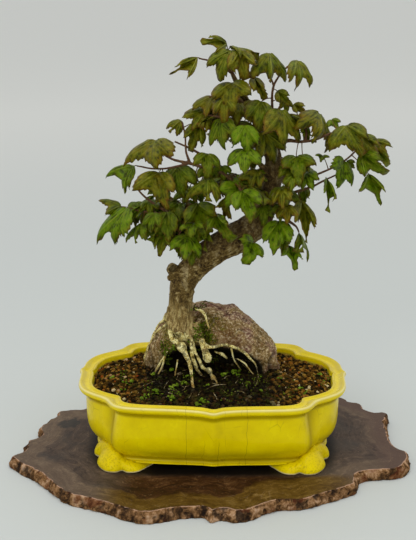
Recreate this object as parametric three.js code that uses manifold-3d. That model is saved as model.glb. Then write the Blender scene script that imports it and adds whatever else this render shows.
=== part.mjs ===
// Trident maple bonsai, grown with its roots over a stone, in a lobed glazed pot on a live-edge slab.
// Millimetres, +Z up, +Y away from the front. The origin lies on the slab's underside, below the
// middle of the pot, and the slab stands on its flat underside.
import * as THREE from "three";
import { mergeVertices } from "three/addons/utils/BufferGeometryUtils.js";
import Module from "manifold-3d";

const wasm = await Module();
wasm.setup();
const { Manifold } = wasm;

// Driving dimensions

const SLAB_THICKNESS = 12;
const SLAB_EDGE_ROUND = 1.2;

const POT_HALF_LENGTH = 153;
const POT_HALF_WIDTH = 109;
const POT_RIM_Z = SLAB_THICKNESS + 80;
const POT_FLOOR_Z = SLAB_THICKNESS + 19;
const POT_UNDERSIDE_Z = SLAB_THICKNESS + 8;
const DRAIN_HOLE_RADIUS = 9;
const DRAIN_HOLE_X = 62;
const SCREEN_SIZE = 30;
const SCREEN_THICKNESS = 1;
const SCREEN_BAR = 2;
const SCREEN_OPENINGS = 4;

// Each pair is an inset from the rim's outline and the soil's rise there above its edge
const SOIL_CROWN = [[26, 1.5], [50, 3.5], [78, 5]];

const GAP = 0.3;
const LEAF_THICKNESS = 0.9;
const PETIOLE_RADIUS = 0.6;

// The tree was measured from the front. Its places are [x, z] on the upright plane through the
// middle of the pot, each with its own depth y, and onSight slides a place along the line of sight
// from VIEW_POINT to that depth.
const VIEW_POINT = new THREE.Vector3(0.6, -1062.6, 533.8);

function onSight(x, z, y) {
  const reach = (y - VIEW_POINT.y) / -VIEW_POINT.y;
  return new THREE.Vector3(x, 0, z).sub(VIEW_POINT).multiplyScalar(reach).add(VIEW_POINT);
}

// Solids

function toManifold(geometry) {
  const bare = geometry.clone();
  bare.deleteAttribute("normal");
  bare.deleteAttribute("uv");
  const merged = mergeVertices(bare, 1e-4);
  const vertProperties = new Float32Array(merged.attributes.position.array);
  const triVerts = new Uint32Array(merged.index.array);
  const shell = new Manifold(new wasm.Mesh({ numProp: 3, vertProperties, triVerts }));
  if (shell.volume() > 0) return shell;
  return new Manifold(new wasm.Mesh({ numProp: 3, vertProperties, triVerts: triVerts.toReversed() }));
}

// A closed skin through a row of rings with equal counts, with a fan over each end
function loft(rings) {
  const count = rings[0].length;
  const points = rings.flat();
  const middle = (ring) => ring.reduce((sum, p) => sum.add(p), new THREE.Vector3()).divideScalar(count);
  const first = points.push(middle(rings[0])) - 1;
  const last = points.push(middle(rings.at(-1))) - 1;
  const index = [];
  for (let side = 0; side < count; side++) {
    const next = (side + 1) % count;
    index.push(first, next, side);
    const top = (rings.length - 1) * count;
    index.push(last, top + side, top + next);
    for (let row = 0; row + 1 < rings.length; row++) {
      const here = row * count;
      const above = here + count;
      index.push(here + side, here + next, above + next);
      index.push(here + side, above + next, above + side);
    }
  }
  const geometry = new THREE.BufferGeometry().setFromPoints(points);
  geometry.setIndex(index);
  return toManifold(geometry);
}

function extrude(outline, depth, z, options = { bevelEnabled: false }) {
  const shape = new THREE.Shape(outline.map(([x, y]) => new THREE.Vector2(x, y)));
  const geometry = new THREE.ExtrudeGeometry(shape, { depth, steps: 1, ...options });
  geometry.translate(0, 0, z);
  return toManifold(geometry);
}

function piece(name, solid, material) {
  const { numProp, vertProperties, triVerts } = solid.getMesh();
  const geometry = new THREE.BufferGeometry();
  const positions = [];
  for (let v = 0; v < vertProperties.length; v += numProp) {
    positions.push(vertProperties[v], vertProperties[v + 1], vertProperties[v + 2]);
  }
  geometry.setAttribute("position", new THREE.Float32BufferAttribute(positions, 3));
  geometry.setIndex([...triVerts]);
  geometry.computeVertexNormals();
  const mesh = new THREE.Mesh(geometry, material);
  mesh.name = name;
  return mesh;
}

// Materials

const walnut = new THREE.MeshStandardMaterial({ color: 0x4f3526, roughness: 0.45 });
const yellowGlaze = new THREE.MeshStandardMaterial({ color: 0xd9c40a, roughness: 0.12 });
const darkPlastic = new THREE.MeshStandardMaterial({ color: 0x202320, roughness: 0.6 });
const darkSoil = new THREE.MeshStandardMaterial({ color: 0x2e2016, roughness: 0.95 });
const mauveStone = new THREE.MeshStandardMaterial({ color: 0x75625a, roughness: 0.9 });
const bark = new THREE.MeshStandardMaterial({ color: 0x6b5a44, roughness: 0.85 });
const leafGreen = new THREE.MeshStandardMaterial({ color: 0x50661c, roughness: 0.55 });

// The slab: a slice across a log, flat on both faces, with its live edge left on

const SLAB_OUTLINE = [
  [-156, 84], [-172, 79], [-186, 74], [-192, 60], [-199, 45], [-204, 24], [-198, 11], [-204, 0],
  [-213, -6], [-215, -30], [-222, -38], [-225, -49], [-213, -64], [-200, -76], [-186, -88],
  [-176, -101], [-165, -114], [-154, -128], [-135, -139], [-121, -144], [-105, -152], [-88, -163],
  [-66, -170], [-48, -166], [-32, -161], [-10, -158], [-1, -167], [8, -164], [30, -167], [45, -158],
  [55, -150], [72, -143], [90, -142], [108, -135], [122, -127], [140, -116], [153, -106], [158, -86],
  [180, -79], [198, -77], [212, -66], [219, -50], [219, -34], [208, -20], [203, -2], [206, 18],
  [209, 48], [215, 66], [208, 75], [196, 72], [188, 82], [188, 92], [182, 101], [172, 106],
  [164, 117], [140, 124], [108, 130], [66, 142], [24, 147], [-22, 150], [-70, 141], [-112, 128],
  [-140, 106],
];

function makeSlab() {
  const round = {
    bevelEnabled: true,
    bevelThickness: SLAB_EDGE_ROUND,
    bevelSize: SLAB_EDGE_ROUND,
    bevelOffset: -SLAB_EDGE_ROUND,
    bevelSegments: 1,
  };
  const straight = SLAB_THICKNESS - 2 * SLAB_EDGE_ROUND;
  return extrude(SLAB_OUTLINE, straight, SLAB_EDGE_ROUND, round);
}

// The pot: one fired piece, with a lobed plan, a rolled lip, four bracket feet and two drain holes

// A quarter of the plan, from the point of the side to the point of the front, with the crease
// between the two lobes at [113, 71]
const POT_QUARTER = [
  [153, 0], [149.5, 6], [148, 15], [147.5, 30], [144.5, 44], [138, 55], [127, 64], [113, 71],
  [105, 80], [96, 88], [85, 93], [70, 96.5], [50, 98.5], [28, 100.5], [12, 104], [0, 109],
];
const SIDE_STRAIGHT_X = 148;
const FRONT_STRAIGHT_Y = 100;
const POINT_AT_BASE = 0.4;
const SIDE_POINT_BACK = 9;
const SIDE_POINT_REACH = 35;
const FRONT_POINT_RIGHT = 3.5;
const FRONT_POINT_REACH = 40;
const POT_TURN = -1.2;

// The points of the sides and the front fade towards the base. The side points stand a little
// behind the middle, and the front point a little to its right.
function potPlan(height) {
  const keep = THREE.MathUtils.lerp(POINT_AT_BASE, 1, height);
  const soften = (value, straight) => (value > straight ? straight + (value - straight) * keep : value);
  const quarter = POT_QUARTER.map(([x, y]) => [soften(x, SIDE_STRAIGHT_X), soften(y, FRONT_STRAIGHT_Y)]);
  const mirrored = quarter.slice(0, -1).reverse().map(([x, y]) => [-x, y]);
  const half = [...quarter, ...mirrored];
  const lower = half.slice(1, -1).reverse().map(([x, y]) => [x, -y]);
  return [...half, ...lower].map(([x, y]) => {
    const bySide = Math.abs(x) > Math.abs(y) ? Math.max(0, 1 - Math.abs(y) / SIDE_POINT_REACH) : 0;
    const byFront = y < 0 ? Math.max(0, 1 - Math.abs(x) / FRONT_POINT_REACH) : 0;
    return [x + FRONT_POINT_RIGHT * byFront * (1 - bySide), y + SIDE_POINT_BACK * bySide];
  });
}

// The plan drawn in by an inset, at a height
function potRing(inset, z) {
  const alongX = (POT_HALF_LENGTH - inset) / POT_HALF_LENGTH;
  const alongY = (POT_HALF_WIDTH - inset) / POT_HALF_WIDTH;
  const height = THREE.MathUtils.clamp((z - POT_UNDERSIDE_Z) / (POT_RIM_Z - POT_UNDERSIDE_Z), 0, 1);
  return potPlan(height).map(([x, y]) => new THREE.Vector3(x * alongX, y * alongY, z));
}

// Each pair is the inset from the rim's outline and the drop below the rim
const POT_OUTSIDE = [
  [92, 72], [25, 72], [21, 71], [20.6, 69], [21.6, 66.5], [18, 60], [12.5, 51], [9.5, 40], [8.5, 26],
  [8.4, 17], [6.4, 12.6], [2.4, 9.6], [0.4, 7], [0.2, 3], [2.6, 0],
];
const POT_LIP_TOP = [[5.5, 1], [8, 2.7], [13, 1.4]];
const POT_INSIDE = [[15.5, 2.8], [16.5, 9], [18, 26], [24, 46], [34, 58], [46, 61], [92, 61]];

// A foot seen from below, at the front left corner: two scallops along the front, one round the
// corner and one on the side
const FOOT_PLAN = [
  [-62, -62], [-69, -76], [-78, -86], [-88, -88], [-95, -84], [-102, -88], [-112, -86], [-120, -77],
  [-124, -66], [-122, -54], [-129, -47], [-130, -37], [-126, -27], [-116, -21], [-106, -32],
  [-101, -50], [-89, -60],
];
const FOOT_MIDDLE = [-100, -62];

// Each pair is a foot's height above the slab and its spread
const FOOT_RISE = [[0, 0.98], [1.5, 1], [4, 0.95], [8, 0.85], [13, 0.66]];

function makeFoot(toRight, toBack) {
  const [middleX, middleY] = FOOT_MIDDLE;
  return loft(FOOT_RISE.map(([rise, spread]) => FOOT_PLAN.map(([x, y]) => new THREE.Vector3(
    toRight * (middleX + (x - middleX) * spread),
    toBack * (middleY + (y - middleY) * spread),
    SLAB_THICKNESS + rise,
  ))));
}

function drainHole(x) {
  const hole = new THREE.CylinderGeometry(DRAIN_HOLE_RADIUS, DRAIN_HOLE_RADIUS, 40, 16);
  hole.rotateX(Math.PI / 2);
  hole.translate(x, 0, POT_UNDERSIDE_Z);
  return toManifold(hole);
}

function makePot() {
  const profile = [...POT_OUTSIDE, ...POT_LIP_TOP, ...POT_INSIDE];
  const bowl = loft(profile.map(([inset, drop]) => potRing(inset, POT_RIM_Z - drop)));
  const feet = [];
  for (const toRight of [1, -1]) {
    for (const toBack of [1, -1]) feet.push(makeFoot(toRight, toBack));
  }
  const cavity = loft(POT_INSIDE.map(([inset, drop]) => potRing(inset, POT_RIM_Z - drop)));
  return Manifold.union([bowl, ...feet]).subtract(cavity)
    .subtract(drainHole(-DRAIN_HOLE_X)).subtract(drainHole(DRAIN_HOLE_X))
    .rotate([0, 0, POT_TURN]);
}

// A drain screen: a square of plastic mesh laid over a drain hole

function makeScreen(x) {
  const half = SCREEN_SIZE / 2;
  const plate = extrude(
    [[x - half, -half], [x + half, -half], [x + half, half], [x - half, half]],
    SCREEN_THICKNESS,
    POT_FLOOR_Z + GAP,
  );
  const pitch = SCREEN_SIZE / SCREEN_OPENINGS;
  const cell = (pitch - SCREEN_BAR) / 2;
  const openings = [];
  for (let column = 0; column < SCREEN_OPENINGS; column++) {
    for (let row = 0; row < SCREEN_OPENINGS; row++) {
      const cx = x - half + (column + 0.5) * pitch;
      const cy = -half + (row + 0.5) * pitch;
      const corners = [[-1, -1], [1, -1], [1, 1], [-1, 1]].map(([i, j]) => [cx + i * cell, cy + j * cell]);
      openings.push(extrude(corners, 4, POT_FLOOR_Z - 1));
    }
  }
  return plate.subtract(Manifold.union(openings)).rotate([0, 0, POT_TURN]);
}

// The room that a screen takes in the soil
function makeScreenRoom(x) {
  const half = SCREEN_SIZE / 2 + GAP;
  const outline = [[x - half, -half], [x + half, -half], [x + half, half], [x - half, half]];
  return extrude(outline, SCREEN_THICKNESS + 3 * GAP, POT_FLOOR_Z - GAP).rotate([0, 0, POT_TURN]);
}

// The stone: a boulder that stands on its back and two ends, with a hollow under its front

// Each station is x, the top's height, and the front and back of the section
const STONE_STATIONS = [
  [-78, 90, 34, 46], [-74, 108, 26, 54], [-65, 127, 17, 62], [-53, 142, 10, 67], [-38, 153, 6, 70],
  [-18, 161, 2, 72], [4, 161, -1, 73], [22, 157, -3, 72], [38, 147, -3, 70], [54, 134, 0, 67],
  [66, 122, 6, 62], [75, 107, 15, 56], [80, 90, 28, 47],
];
const STONE_BOTTOM_Z = 68;
const STONE_SIDES = 14;
const STONE_HOLLOW_MIDDLE = new THREE.Vector3(-4, -6, 92);
const STONE_HOLLOW_SIZE = new THREE.Vector3(60, 44, 31);

// A stone section is a rounded box
function stoneRing([x, top, front, back], extra) {
  const middleY = (front + back) / 2;
  const middleZ = (top + STONE_BOTTOM_Z) / 2;
  const ring = [];
  for (let side = 0; side < STONE_SIDES; side++) {
    const angle = (2 * Math.PI * side) / STONE_SIDES;
    const across = Math.sign(Math.cos(angle)) * Math.abs(Math.cos(angle)) ** 0.9;
    const up = Math.sign(Math.sin(angle)) * Math.abs(Math.sin(angle)) ** 0.8;
    ring.push(new THREE.Vector3(
      x + Math.sign(x) * extra,
      middleY + across * ((back - front) / 2 + extra),
      middleZ + up * ((top - STONE_BOTTOM_Z) / 2 + extra),
    ));
  }
  return ring;
}

// The stone, wider by extra all round
function makeStone(extra = 0) {
  const hollow = new THREE.SphereGeometry(1, 14, 8);
  const { x, y, z } = STONE_HOLLOW_SIZE;
  hollow.scale(x - extra, y - extra, z - extra);
  hollow.translate(...STONE_HOLLOW_MIDDLE.toArray());
  return loft(STONE_STATIONS.map((station) => stoneRing(station, extra))).subtract(toManifold(hollow));
}

// The tree: trunk, roots and branches grown as one

// Each place on a limb is x, z, depth y and radius
const TRUNK = [
  [-36, 120, -5, 9], [-36, 134, -4, 14.5], [-35, 152, -2, 14.5], [-35, 178, 0, 13.5],
  [-31, 201, 0, 14], [-16, 222, 0, 15], [4, 237, -1, 15], [28, 253, -2, 14], [49, 272, -2, 12.5],
  [60, 297, 0, 11], [62, 324, 2, 9], [58, 346, 4, 7.5], [45, 377, 8, 5.5], [33, 400, 10, 4],
  [20, 425, 10, 2.6], [14, 446, 8, 1.5],
];
const PRUNED_STUB = [[-31, 202, 0, 9], [-40, 211, -3, 7.5], [-47, 217, -5, 6.5]];

const ROOTS = [
  [[-40, 150, -6, 6], [-44, 136, -10, 5], [-34, 125, -14, 5], [-29, 114, -15, 4.2], [-25, 101, -17, 3.4],
    [-23, 90, -19, 2.8], [-22, 76, -22, 2.4], [-20, 60, -24, 1.6]],
  [[-28, 150, -6, 6], [-24, 134, -10, 5], [-22, 118, -12, 3.6], [-20, 105, -13, 3], [-17, 92, -15, 2.5],
    [-14, 78, -17, 2], [-13, 62, -18, 1.4]],
  [[-25, 140, -7, 6], [-20, 118, -9, 3.8], [-13, 104, -12, 3.4], [-5, 95, -15, 4.2], [1, 85, -18, 3.4],
    [7, 75, -21, 2.6], [10, 60, -22, 1.5]],
  [[-26, 144, -4, 7], [-14, 131, -7, 5.5], [-8, 119, -9, 5], [-4, 108, -11, 6], [-1, 96, -10, 2.6],
    [2, 70, -8, 1.6]],
  [[-24, 138, -2, 6], [-4, 125, -5, 3.2], [14, 124, -6, 2.6], [29, 120, -6, 2.6], [38, 113, -5, 2.4],
    [46, 105, -4, 2.2], [52, 88, -2, 2], [54, 68, 0, 1.5]],
  [[-27, 176, -2, 5], [-19, 167, 2, 2.6], [-12, 163, 2, 2.2], [-7, 155, 0, 2], [-3, 144, -3, 1.8],
    [1, 130, -6, 1.6]],
  [[-44, 146, -4, 6], [-50, 128, -6, 4], [-55, 110, -7, 3], [-61, 96, -8, 2.4], [-66, 82, -9, 2],
    [-68, 66, -10, 1.4]],
];

// Roots over the stone's back, which the front doesn't show: x, y, z and radius as they lie
const BACK_ROOTS = [
  [[-33, 6, 158, 7], [-24, 24, 163, 4.5], [-12, 46, 160, 4], [-2, 66, 146, 3.6], [4, 75, 122, 3],
    [7, 78, 96, 2.6], [8, 79, 74, 1.8]],
  [[-40, 8, 150, 7], [-46, 28, 153, 4.6], [-53, 52, 144, 4], [-60, 68, 122, 3.4], [-63, 73, 98, 2.8],
    [-64, 74, 74, 1.8]],
  [[-8, 56, 154, 3.4], [12, 70, 142, 2.8], [32, 74, 124, 2.4], [45, 72, 102, 2], [49, 71, 74, 1.4]],
];

const BRANCHES = [
  // Right: the long upper branch, its side stem, and the two lower ones
  [[61, 322, 2, 7], [67, 342, -2, 4.4], [79, 350, -6, 3.6], [92, 349, -8, 3], [107, 354, -9, 2.4],
    [122, 362, -8, 1.9], [140, 369, -6, 1.5], [156, 364, -4, 1.2], [167, 359, -2, 0.9]],
  [[97, 350, -8, 2], [98, 364, -7, 1.4], [92, 379, -5, 1]],
  [[60, 290, 0, 6], [74, 294, -6, 3], [88, 300, -8, 2.2], [106, 307, -8, 1.6], [121, 314, -6, 1.2],
    [134, 320, -6, 0.9]],
  [[74, 294, -6, 2.6], [86, 306, -12, 2.2], [99, 316, -11, 1.8], [113, 321, -9, 1.6], [128, 328, -8, 1.4],
    [142, 336, -6, 1.2], [153, 347, -5, 1]],
  [[60, 284, -2, 5], [72, 276, -8, 2.8], [82, 268, -10, 2], [90, 262, -8, 1.5], [93, 256, -5, 1]],
  [[72, 276, -8, 2], [74, 262, -14, 1.4], [78, 248, -10, 1]],
  // Left: the long branch with its two rising stems, and the low one
  [[51, 276, 0, 7], [40, 294, -4, 5], [28, 308, -8, 4.2], [12, 320, -12, 3.4], [-6, 326, -13, 2.8],
    [-25, 331, -13, 2.2], [-42, 335, -12, 1.6], [-56, 343, -11, 1]],
  [[-24, 331, -13, 2], [-28, 343, -11, 1.5], [-29, 360, -8, 1.2], [-32, 374, -4, 0.9]],
  [[-25, 331, -13, 1.8], [-45, 326, -16, 1.4], [-62, 325, -12, 1.2], [-80, 328, -5, 0.9]],
  [[18, 248, 0, 7], [8, 262, -4, 4.2], [-8, 270, -9, 3.2], [-26, 272, -12, 2.6], [-44, 276, -13, 2],
    [-60, 285, -13, 1.6], [-74, 296, -11, 1.2], [-82, 306, -8, 0.9]],
  [[-44, 276, -13, 1.6], [-62, 277, -14, 1.3], [-84, 280, -12, 1]],
  [[-22, 271, -12, 1.8], [-31, 262, -18, 1.4], [-38, 250, -18, 1.1]],
  [[-16, 222, 0, 6], [-20, 238, -8, 2.2], [-22, 252, -16, 1.3]],
  // Crown: the front stems and the two that rise to the top
  [[60, 340, 3, 5], [64, 362, 2, 3], [62, 386, 0, 2.2], [63, 412, -1, 1.5], [74, 429, -1, 1],
    [84, 437, 0, 0.8]],
  [[63, 412, -1, 1.2], [58, 428, 0, 1], [57, 444, 1, 0.8]],
  [[40, 386, 8, 3.4], [26, 398, 0, 2.2], [12, 402, -8, 1.6], [-4, 401, -8, 1]],
  [[20, 425, 10, 1.8], [2, 436, 5, 1.3], [-14, 440, 1, 0.9]],
  [[58, 346, 4, 5], [42, 360, -8, 2.8], [24, 372, -14, 2], [6, 380, -14, 1.5], [-8, 382, -10, 1]],
  [[61, 318, 0, 6], [50, 330, -16, 3], [40, 340, -28, 2], [34, 350, -34, 1.3]],
  [[52, 278, -4, 6], [44, 290, -20, 3], [34, 298, -32, 2], [28, 304, -34, 1.3]],
  [[62, 330, 2, 5], [66, 356, -8, 2.4], [70, 374, -12, 1.6], [71, 386, -12, 1]],
  // Rear: stems that fill the back of the crown
  [[55, 284, 4, 6], [48, 300, 22, 3.2], [36, 316, 38, 2.2], [20, 326, 50, 1.4]],
  [[62, 320, 6, 5], [74, 336, 24, 2.8], [92, 344, 38, 2], [112, 350, 46, 1.2]],
  [[44, 378, 10, 3.6], [30, 388, 26, 2.2], [14, 396, 36, 1.3]],
  [[50, 362, 8, 4], [64, 380, 24, 2.2], [74, 398, 34, 1.3]],
  [[8, 262, -4, 3.6], [-10, 276, 14, 2.4], [-32, 286, 26, 1.8], [-54, 294, 32, 1.2]],
  [[60, 292, 4, 4.5], [72, 288, 22, 2.6], [86, 284, 34, 1.6]],
  [[12, 320, -10, 3], [-4, 334, 6, 2], [-22, 346, 18, 1.4], [-40, 354, 24, 1]],
];

const LIMB_SIDES = 10;
const TWIG_SIDES = 5;
const TWIG_RADIUS = 3.5;

function limbPath(places) {
  const middles = places.map(([x, y, z]) => new THREE.Vector3(x, y, z));
  return new THREE.CatmullRomCurve3(middles, false, "centripetal");
}

// A tapering limb through its places, wider by extra all round
function makeLimb(places, extra = 0) {
  const path = limbPath(places);
  const thickest = Math.max(...places.map((place) => place[3]));
  const sides = thickest > TWIG_RADIUS * 2 ? LIMB_SIDES : TWIG_SIDES;
  const steps = (places.length - 1) * (sides === LIMB_SIDES && places.length > 8 ? 2 : 1);
  const { normals, binormals } = path.computeFrenetFrames(steps);
  const rings = [];
  for (let step = 0; step <= steps; step++) {
    const along = (step / steps) * (places.length - 1);
    const here = Math.min(Math.floor(along), places.length - 2);
    const radius = THREE.MathUtils.lerp(places[here][3], places[here + 1][3], along - here) + extra;
    const centre = path.getPoint(step / steps);
    const ring = [];
    for (let side = 0; side < sides; side++) {
      const angle = (2 * Math.PI * side) / sides;
      ring.push(centre.clone()
        .addScaledVector(normals[step], radius * Math.cos(angle))
        .addScaledVector(binormals[step], radius * Math.sin(angle)));
    }
    rings.push(ring);
  }
  return loft(rings);
}

function seenLimb(places) {
  return places.map(([x, z, y, radius]) => [...onSight(x, z, y).toArray(), radius]);
}

const LIMBS = [TRUNK, PRUNED_STUB, ...ROOTS, ...BRANCHES].map(seenLimb).concat(BACK_ROOTS);
const makeTree = (extra) => Manifold.union(LIMBS.map((limb) => makeLimb(limb, extra)));

// The leaves: three forward lobes on a thin stalk, hanging from a high base

// Each row is the blade's base [x, z], its depth, the tips of the left, middle and right lobes
// [x, z], and the middle lobe's real length. The lobes reach towards the front by what their length
// leaves over.
const LEAVES = [
  [-16, 440, 0, -38, 434, -45, 421, -26, 421, 36],
  [14, 455, 8, -2, 461, -11, 457, 3, 447, 28],
  [18, 448, -6, -7, 433, 5, 419, 20, 428, 34],
  [22, 449, 6, 31, 455, 45, 443, 34, 438, 28],
  [27, 447, -12, 18, 432, 34, 418, 43, 434, 30],
  [58, 445, 2, 40, 421, 60, 418, 77, 418, 36],
  [86, 438, 0, 82, 419, 90, 412, 104, 414, 38],
  [20, 415, -14, 0, 400, 17, 386, 37, 405, 36],
  [0, 401, -4, -21, 389, -8, 381, 6, 386, 30],
  [8, 378, -16, -3, 350, 11, 346, 23, 361, 34],
  [-8, 386, 0, -30, 380, -21, 367, -6, 366, 30],
  [-14, 374, -8, -29, 358, -24, 344, -12, 350, 32],
  [33, 371, -28, 23, 351, 38, 342, 47, 352, 32],
  [50, 396, -10, 36, 379, 48, 367, 60, 375, 34],
  [71, 387, -12, 57, 364, 76, 350, 92, 355, 42],
  [106, 386, -6, 87, 376, 108, 360, 124, 346, 42],
  [141, 376, -8, 125, 349, 158, 345, 162, 362, 42],
  [157, 366, 2, 158, 345, 173, 344, 175, 356, 32],
  [171, 362, 8, 172, 344, 186, 347, 187, 358, 27],
  [158, 341, -8, 165, 317, 187, 320, 180, 334, 38],
  [88, 338, -14, 75, 327, 92, 311, 107, 331, 34],
  [99, 321, -4, 96, 304, 106, 304, 111, 314, 26],
  [74, 304, -30, 65, 289, 74, 284, 82, 292, 26],
  [93, 289, -8, 91, 265, 99, 247, 110, 262, 44],
  [80, 285, -24, 70, 272, 80, 265, 91, 273, 24],
  [71, 268, -22, 57, 246, 66, 231, 83, 246, 40],
  [93, 255, -4, 91, 236, 97, 236, 106, 224, 32],
  [82, 241, -2, 77, 230, 91, 213, 97, 226, 30],
  [120, 315, -4, 115, 300, 118, 281, 130, 294, 36],
  [138, 333, -10, 126, 327, 134, 304, 149, 308, 30],
  [165, 319, -2, 159, 300, 176, 286, 181, 300, 36],
  [44, 244, -32, 32, 247, 36, 219, 54, 230, 28],
  [34, 345, -38, 18, 333, 35, 322, 50, 332, 30],
  [24, 316, -12, 32, 306, 43, 303, 44, 313, 24],
  [27, 306, -30, 8, 302, 16, 284, 27, 284, 30],
  [31, 301, -42, 26, 282, 42, 268, 51, 288, 38],
  [-6, 341, -18, -18, 331, -4, 317, 7, 327, 30],
  [-4, 314, -28, -31, 293, -5, 294, 7, 293, 32],
  [-16, 287, -16, -27, 268, -7, 249, 1, 274, 40],
  [4, 276, -26, -5, 260, 22, 246, 13, 264, 36],
  [-20, 266, -30, -36, 260, -24, 251, -11, 262, 22],
  [-27, 251, -24, -45, 237, -30, 225, -14, 231, 34],
  [-57, 350, -10, -93, 331, -61, 326, -46, 338, 40],
  [-83, 328, -2, -115, 318, -97, 301, -91, 306, 36],
  [-57, 321, -22, -84, 303, -50, 282, -43, 300, 42],
  [-37, 327, -10, -52, 303, -32, 295, -18, 309, 38],
  [-98, 284, 6, -121, 291, -115, 276, -105, 270, 26],
  [-86, 280, -12, -126, 247, -107, 246, -97, 253, 44],
  [-52, 259, -12, -62, 238, -57, 229, -47, 241, 32],
  [-49, 278, -22, -61, 256, -48, 246, -42, 256, 34],
];

const SIDE_LOBE_LENGTH = 0.88;
const SIDE_LOBE_ANGLE = 40;
const LOBE_ARCH = 0.16;

// Half of the flat outline: the angle from the middle lobe in degrees, and the reach from the base
// as a part of the middle lobe's length
const HALF_OUTLINE = [[0, 1], [22, 0.5], [40, 0.88], [56, 0.5], [104, 0.14]];
const OTHER_HALF = HALF_OUTLINE.slice(1).reverse().map(([angle, reach]) => [-angle, reach]);
const OUTLINE = [...OTHER_HALF, ...HALF_OUTLINE];

// The three lobe tips in space: what a lobe's length has left over its seen length is depth
function lobeTips(base, row) {
  const [, , , leftX, leftZ, middleX, middleZ, rightX, rightZ, length] = row;
  const seen = [[leftX, leftZ, SIDE_LOBE_LENGTH], [middleX, middleZ, 1], [rightX, rightZ, SIDE_LOBE_LENGTH]];
  return seen.map(([x, z, part]) => {
    const flat = onSight(x, z, base.y);
    const left = Math.max((part * length) ** 2 - flat.distanceToSquared(base), 0);
    return onSight(x, z, base.y - Math.sqrt(left));
  });
}

// A point of the blade, by its angle and reach in the flat leaf: it lies between the arched ribs of
// the two nearest lobes, or is turned on from the outer rib
function bladePoint(base, tips, normal, length, angle, reach) {
  const rib = (tip, part) => {
    const crest = base.clone().lerp(tip, 0.5).addScaledVector(normal, LOBE_ARCH * length);
    return new THREE.QuadraticBezierCurve3(base, crest, tip).getPoint(reach / part);
  };
  const side = angle < 0 ? tips[0] : tips[2];
  const fromMiddle = Math.abs(angle) / SIDE_LOBE_ANGLE;
  if (fromMiddle <= 1) return rib(tips[1], 1).lerp(rib(side, SIDE_LOBE_LENGTH), fromMiddle);
  const further = THREE.MathUtils.degToRad(Math.abs(angle) - SIDE_LOBE_ANGLE) * Math.sign(angle);
  return rib(side, SIDE_LOBE_LENGTH).sub(base).applyAxisAngle(normal, further).add(base);
}

function makeBlade(base, tips, length, thickness) {
  const across = tips[2].clone().sub(tips[0]);
  const normal = tips[1].clone().sub(base).cross(across).normalize();
  if (normal.z < 0) normal.negate();
  const points = [base.clone()];
  for (const part of [0.5, 1]) {
    for (const [angle, reach] of OUTLINE) {
      points.push(bladePoint(base, tips, normal, length, angle, reach * part));
    }
  }
  const count = OUTLINE.length;
  const faces = [];
  for (let spoke = 1; spoke < count; spoke++) {
    const outer = spoke + count;
    faces.push([0, spoke, spoke + 1], [spoke, outer, outer + 1], [spoke, outer + 1, spoke + 1]);
  }
  const border = [0];
  for (let spoke = 1; spoke <= count; spoke++) border.push(spoke + count);
  const half = normal.clone().multiplyScalar(thickness / 2);
  const skins = points.map((p) => p.clone().add(half)).concat(points.map((p) => p.clone().sub(half)));
  const under = points.length;
  const index = [];
  for (const [a, b, c] of faces) index.push(a, b, c, under + a, under + c, under + b);
  const rim = [0, 1, ...border.slice(1), count];
  for (let k = 0; k < rim.length; k++) {
    const a = rim[k];
    const b = rim[(k + 1) % rim.length];
    index.push(a, under + a, under + b, a, under + b, b);
  }
  const geometry = new THREE.BufferGeometry().setFromPoints(skins);
  geometry.setIndex(index);
  return toManifold(geometry);
}

// The places on the tree's own limbs that a stalk may grow from
const LOWEST_STALK_ROOT_Z = 220;
const GROWN_PLACES = LIMBS
  .flatMap((limb) => limbPath(limb).getPoints(4 * limb.length))
  .filter((place) => place.z > LOWEST_STALK_ROOT_Z);

const STALK_CHOICES = 12;
const STALK_SPACING = 2.6;

// The nearest free places to a point, where no other stalk grows
function freePlaces(point, taken) {
  return GROWN_PLACES
    .filter((place) => taken.every((other) => other.distanceTo(place) > STALK_SPACING))
    .sort((a, b) => a.distanceToSquared(point) - b.distanceToSquared(point))
    .slice(0, STALK_CHOICES);
}

function makeStalk(base, tips, root, radius) {
  const away = base.clone().sub(tips[1]).normalize();
  const reach = base.distanceTo(root);
  const bend = base.clone().lerp(root, 0.4).addScaledVector(away, 0.2 * reach);
  const inBlade = base.clone().addScaledVector(away, -1.5);
  const places = [inBlade, bend, root].map((p) => [...p.toArray(), radius]);
  return makeLimb(places);
}

// Whether two corners of a solid lie closer together than a micrometre or so
function hasTouchingCorners(solid) {
  const corners = piece("", solid).geometry.deleteAttribute("normal");
  return mergeVertices(corners, 2e-3).attributes.position.count < corners.attributes.position.count;
}

const SLIDES = [0, 4, -4, 8, -8, 12, -12, 16, -16, 20, -20, 24, -24, 28, -28, 34, -34, 40, 46];

// A leaf at the first depth and stalk root where it is clear of the tree and of the other leaves
function makeLeaf(row, thickTree, others, taken) {
  const length = row.at(-1);
  const isClear = (solid) => others.every((other) => solid.intersect(other).volume() === 0);
  for (const slide of SLIDES) {
    const base = onSight(row[0], row[1], row[2] + slide);
    const tips = lobeTips(base, row);
    const guard = makeBlade(base, tips, length, LEAF_THICKNESS + 2 * GAP);
    if (guard.intersect(thickTree).volume() > 0 || !isClear(guard)) continue;
    const blade = makeBlade(base, tips, length, LEAF_THICKNESS);
    for (const root of freePlaces(base, taken)) {
      if (!isClear(makeStalk(base, tips, root, PETIOLE_RADIUS + GAP))) continue;
      const whole = blade.add(makeStalk(base, tips, root, PETIOLE_RADIUS)).subtract(thickTree);
      const leaf = whole.decompose().reduce((a, b) => (a.volume() > b.volume() ? a : b));
      if (hasTouchingCorners(leaf)) continue;
      taken.push(root);
      return leaf;
    }
  }
  throw new Error(`no clear place for the leaf at ${row.slice(0, 2)}`);
}

// The soil: fills the pot to just below the lip, and rises a little towards the stone

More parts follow.
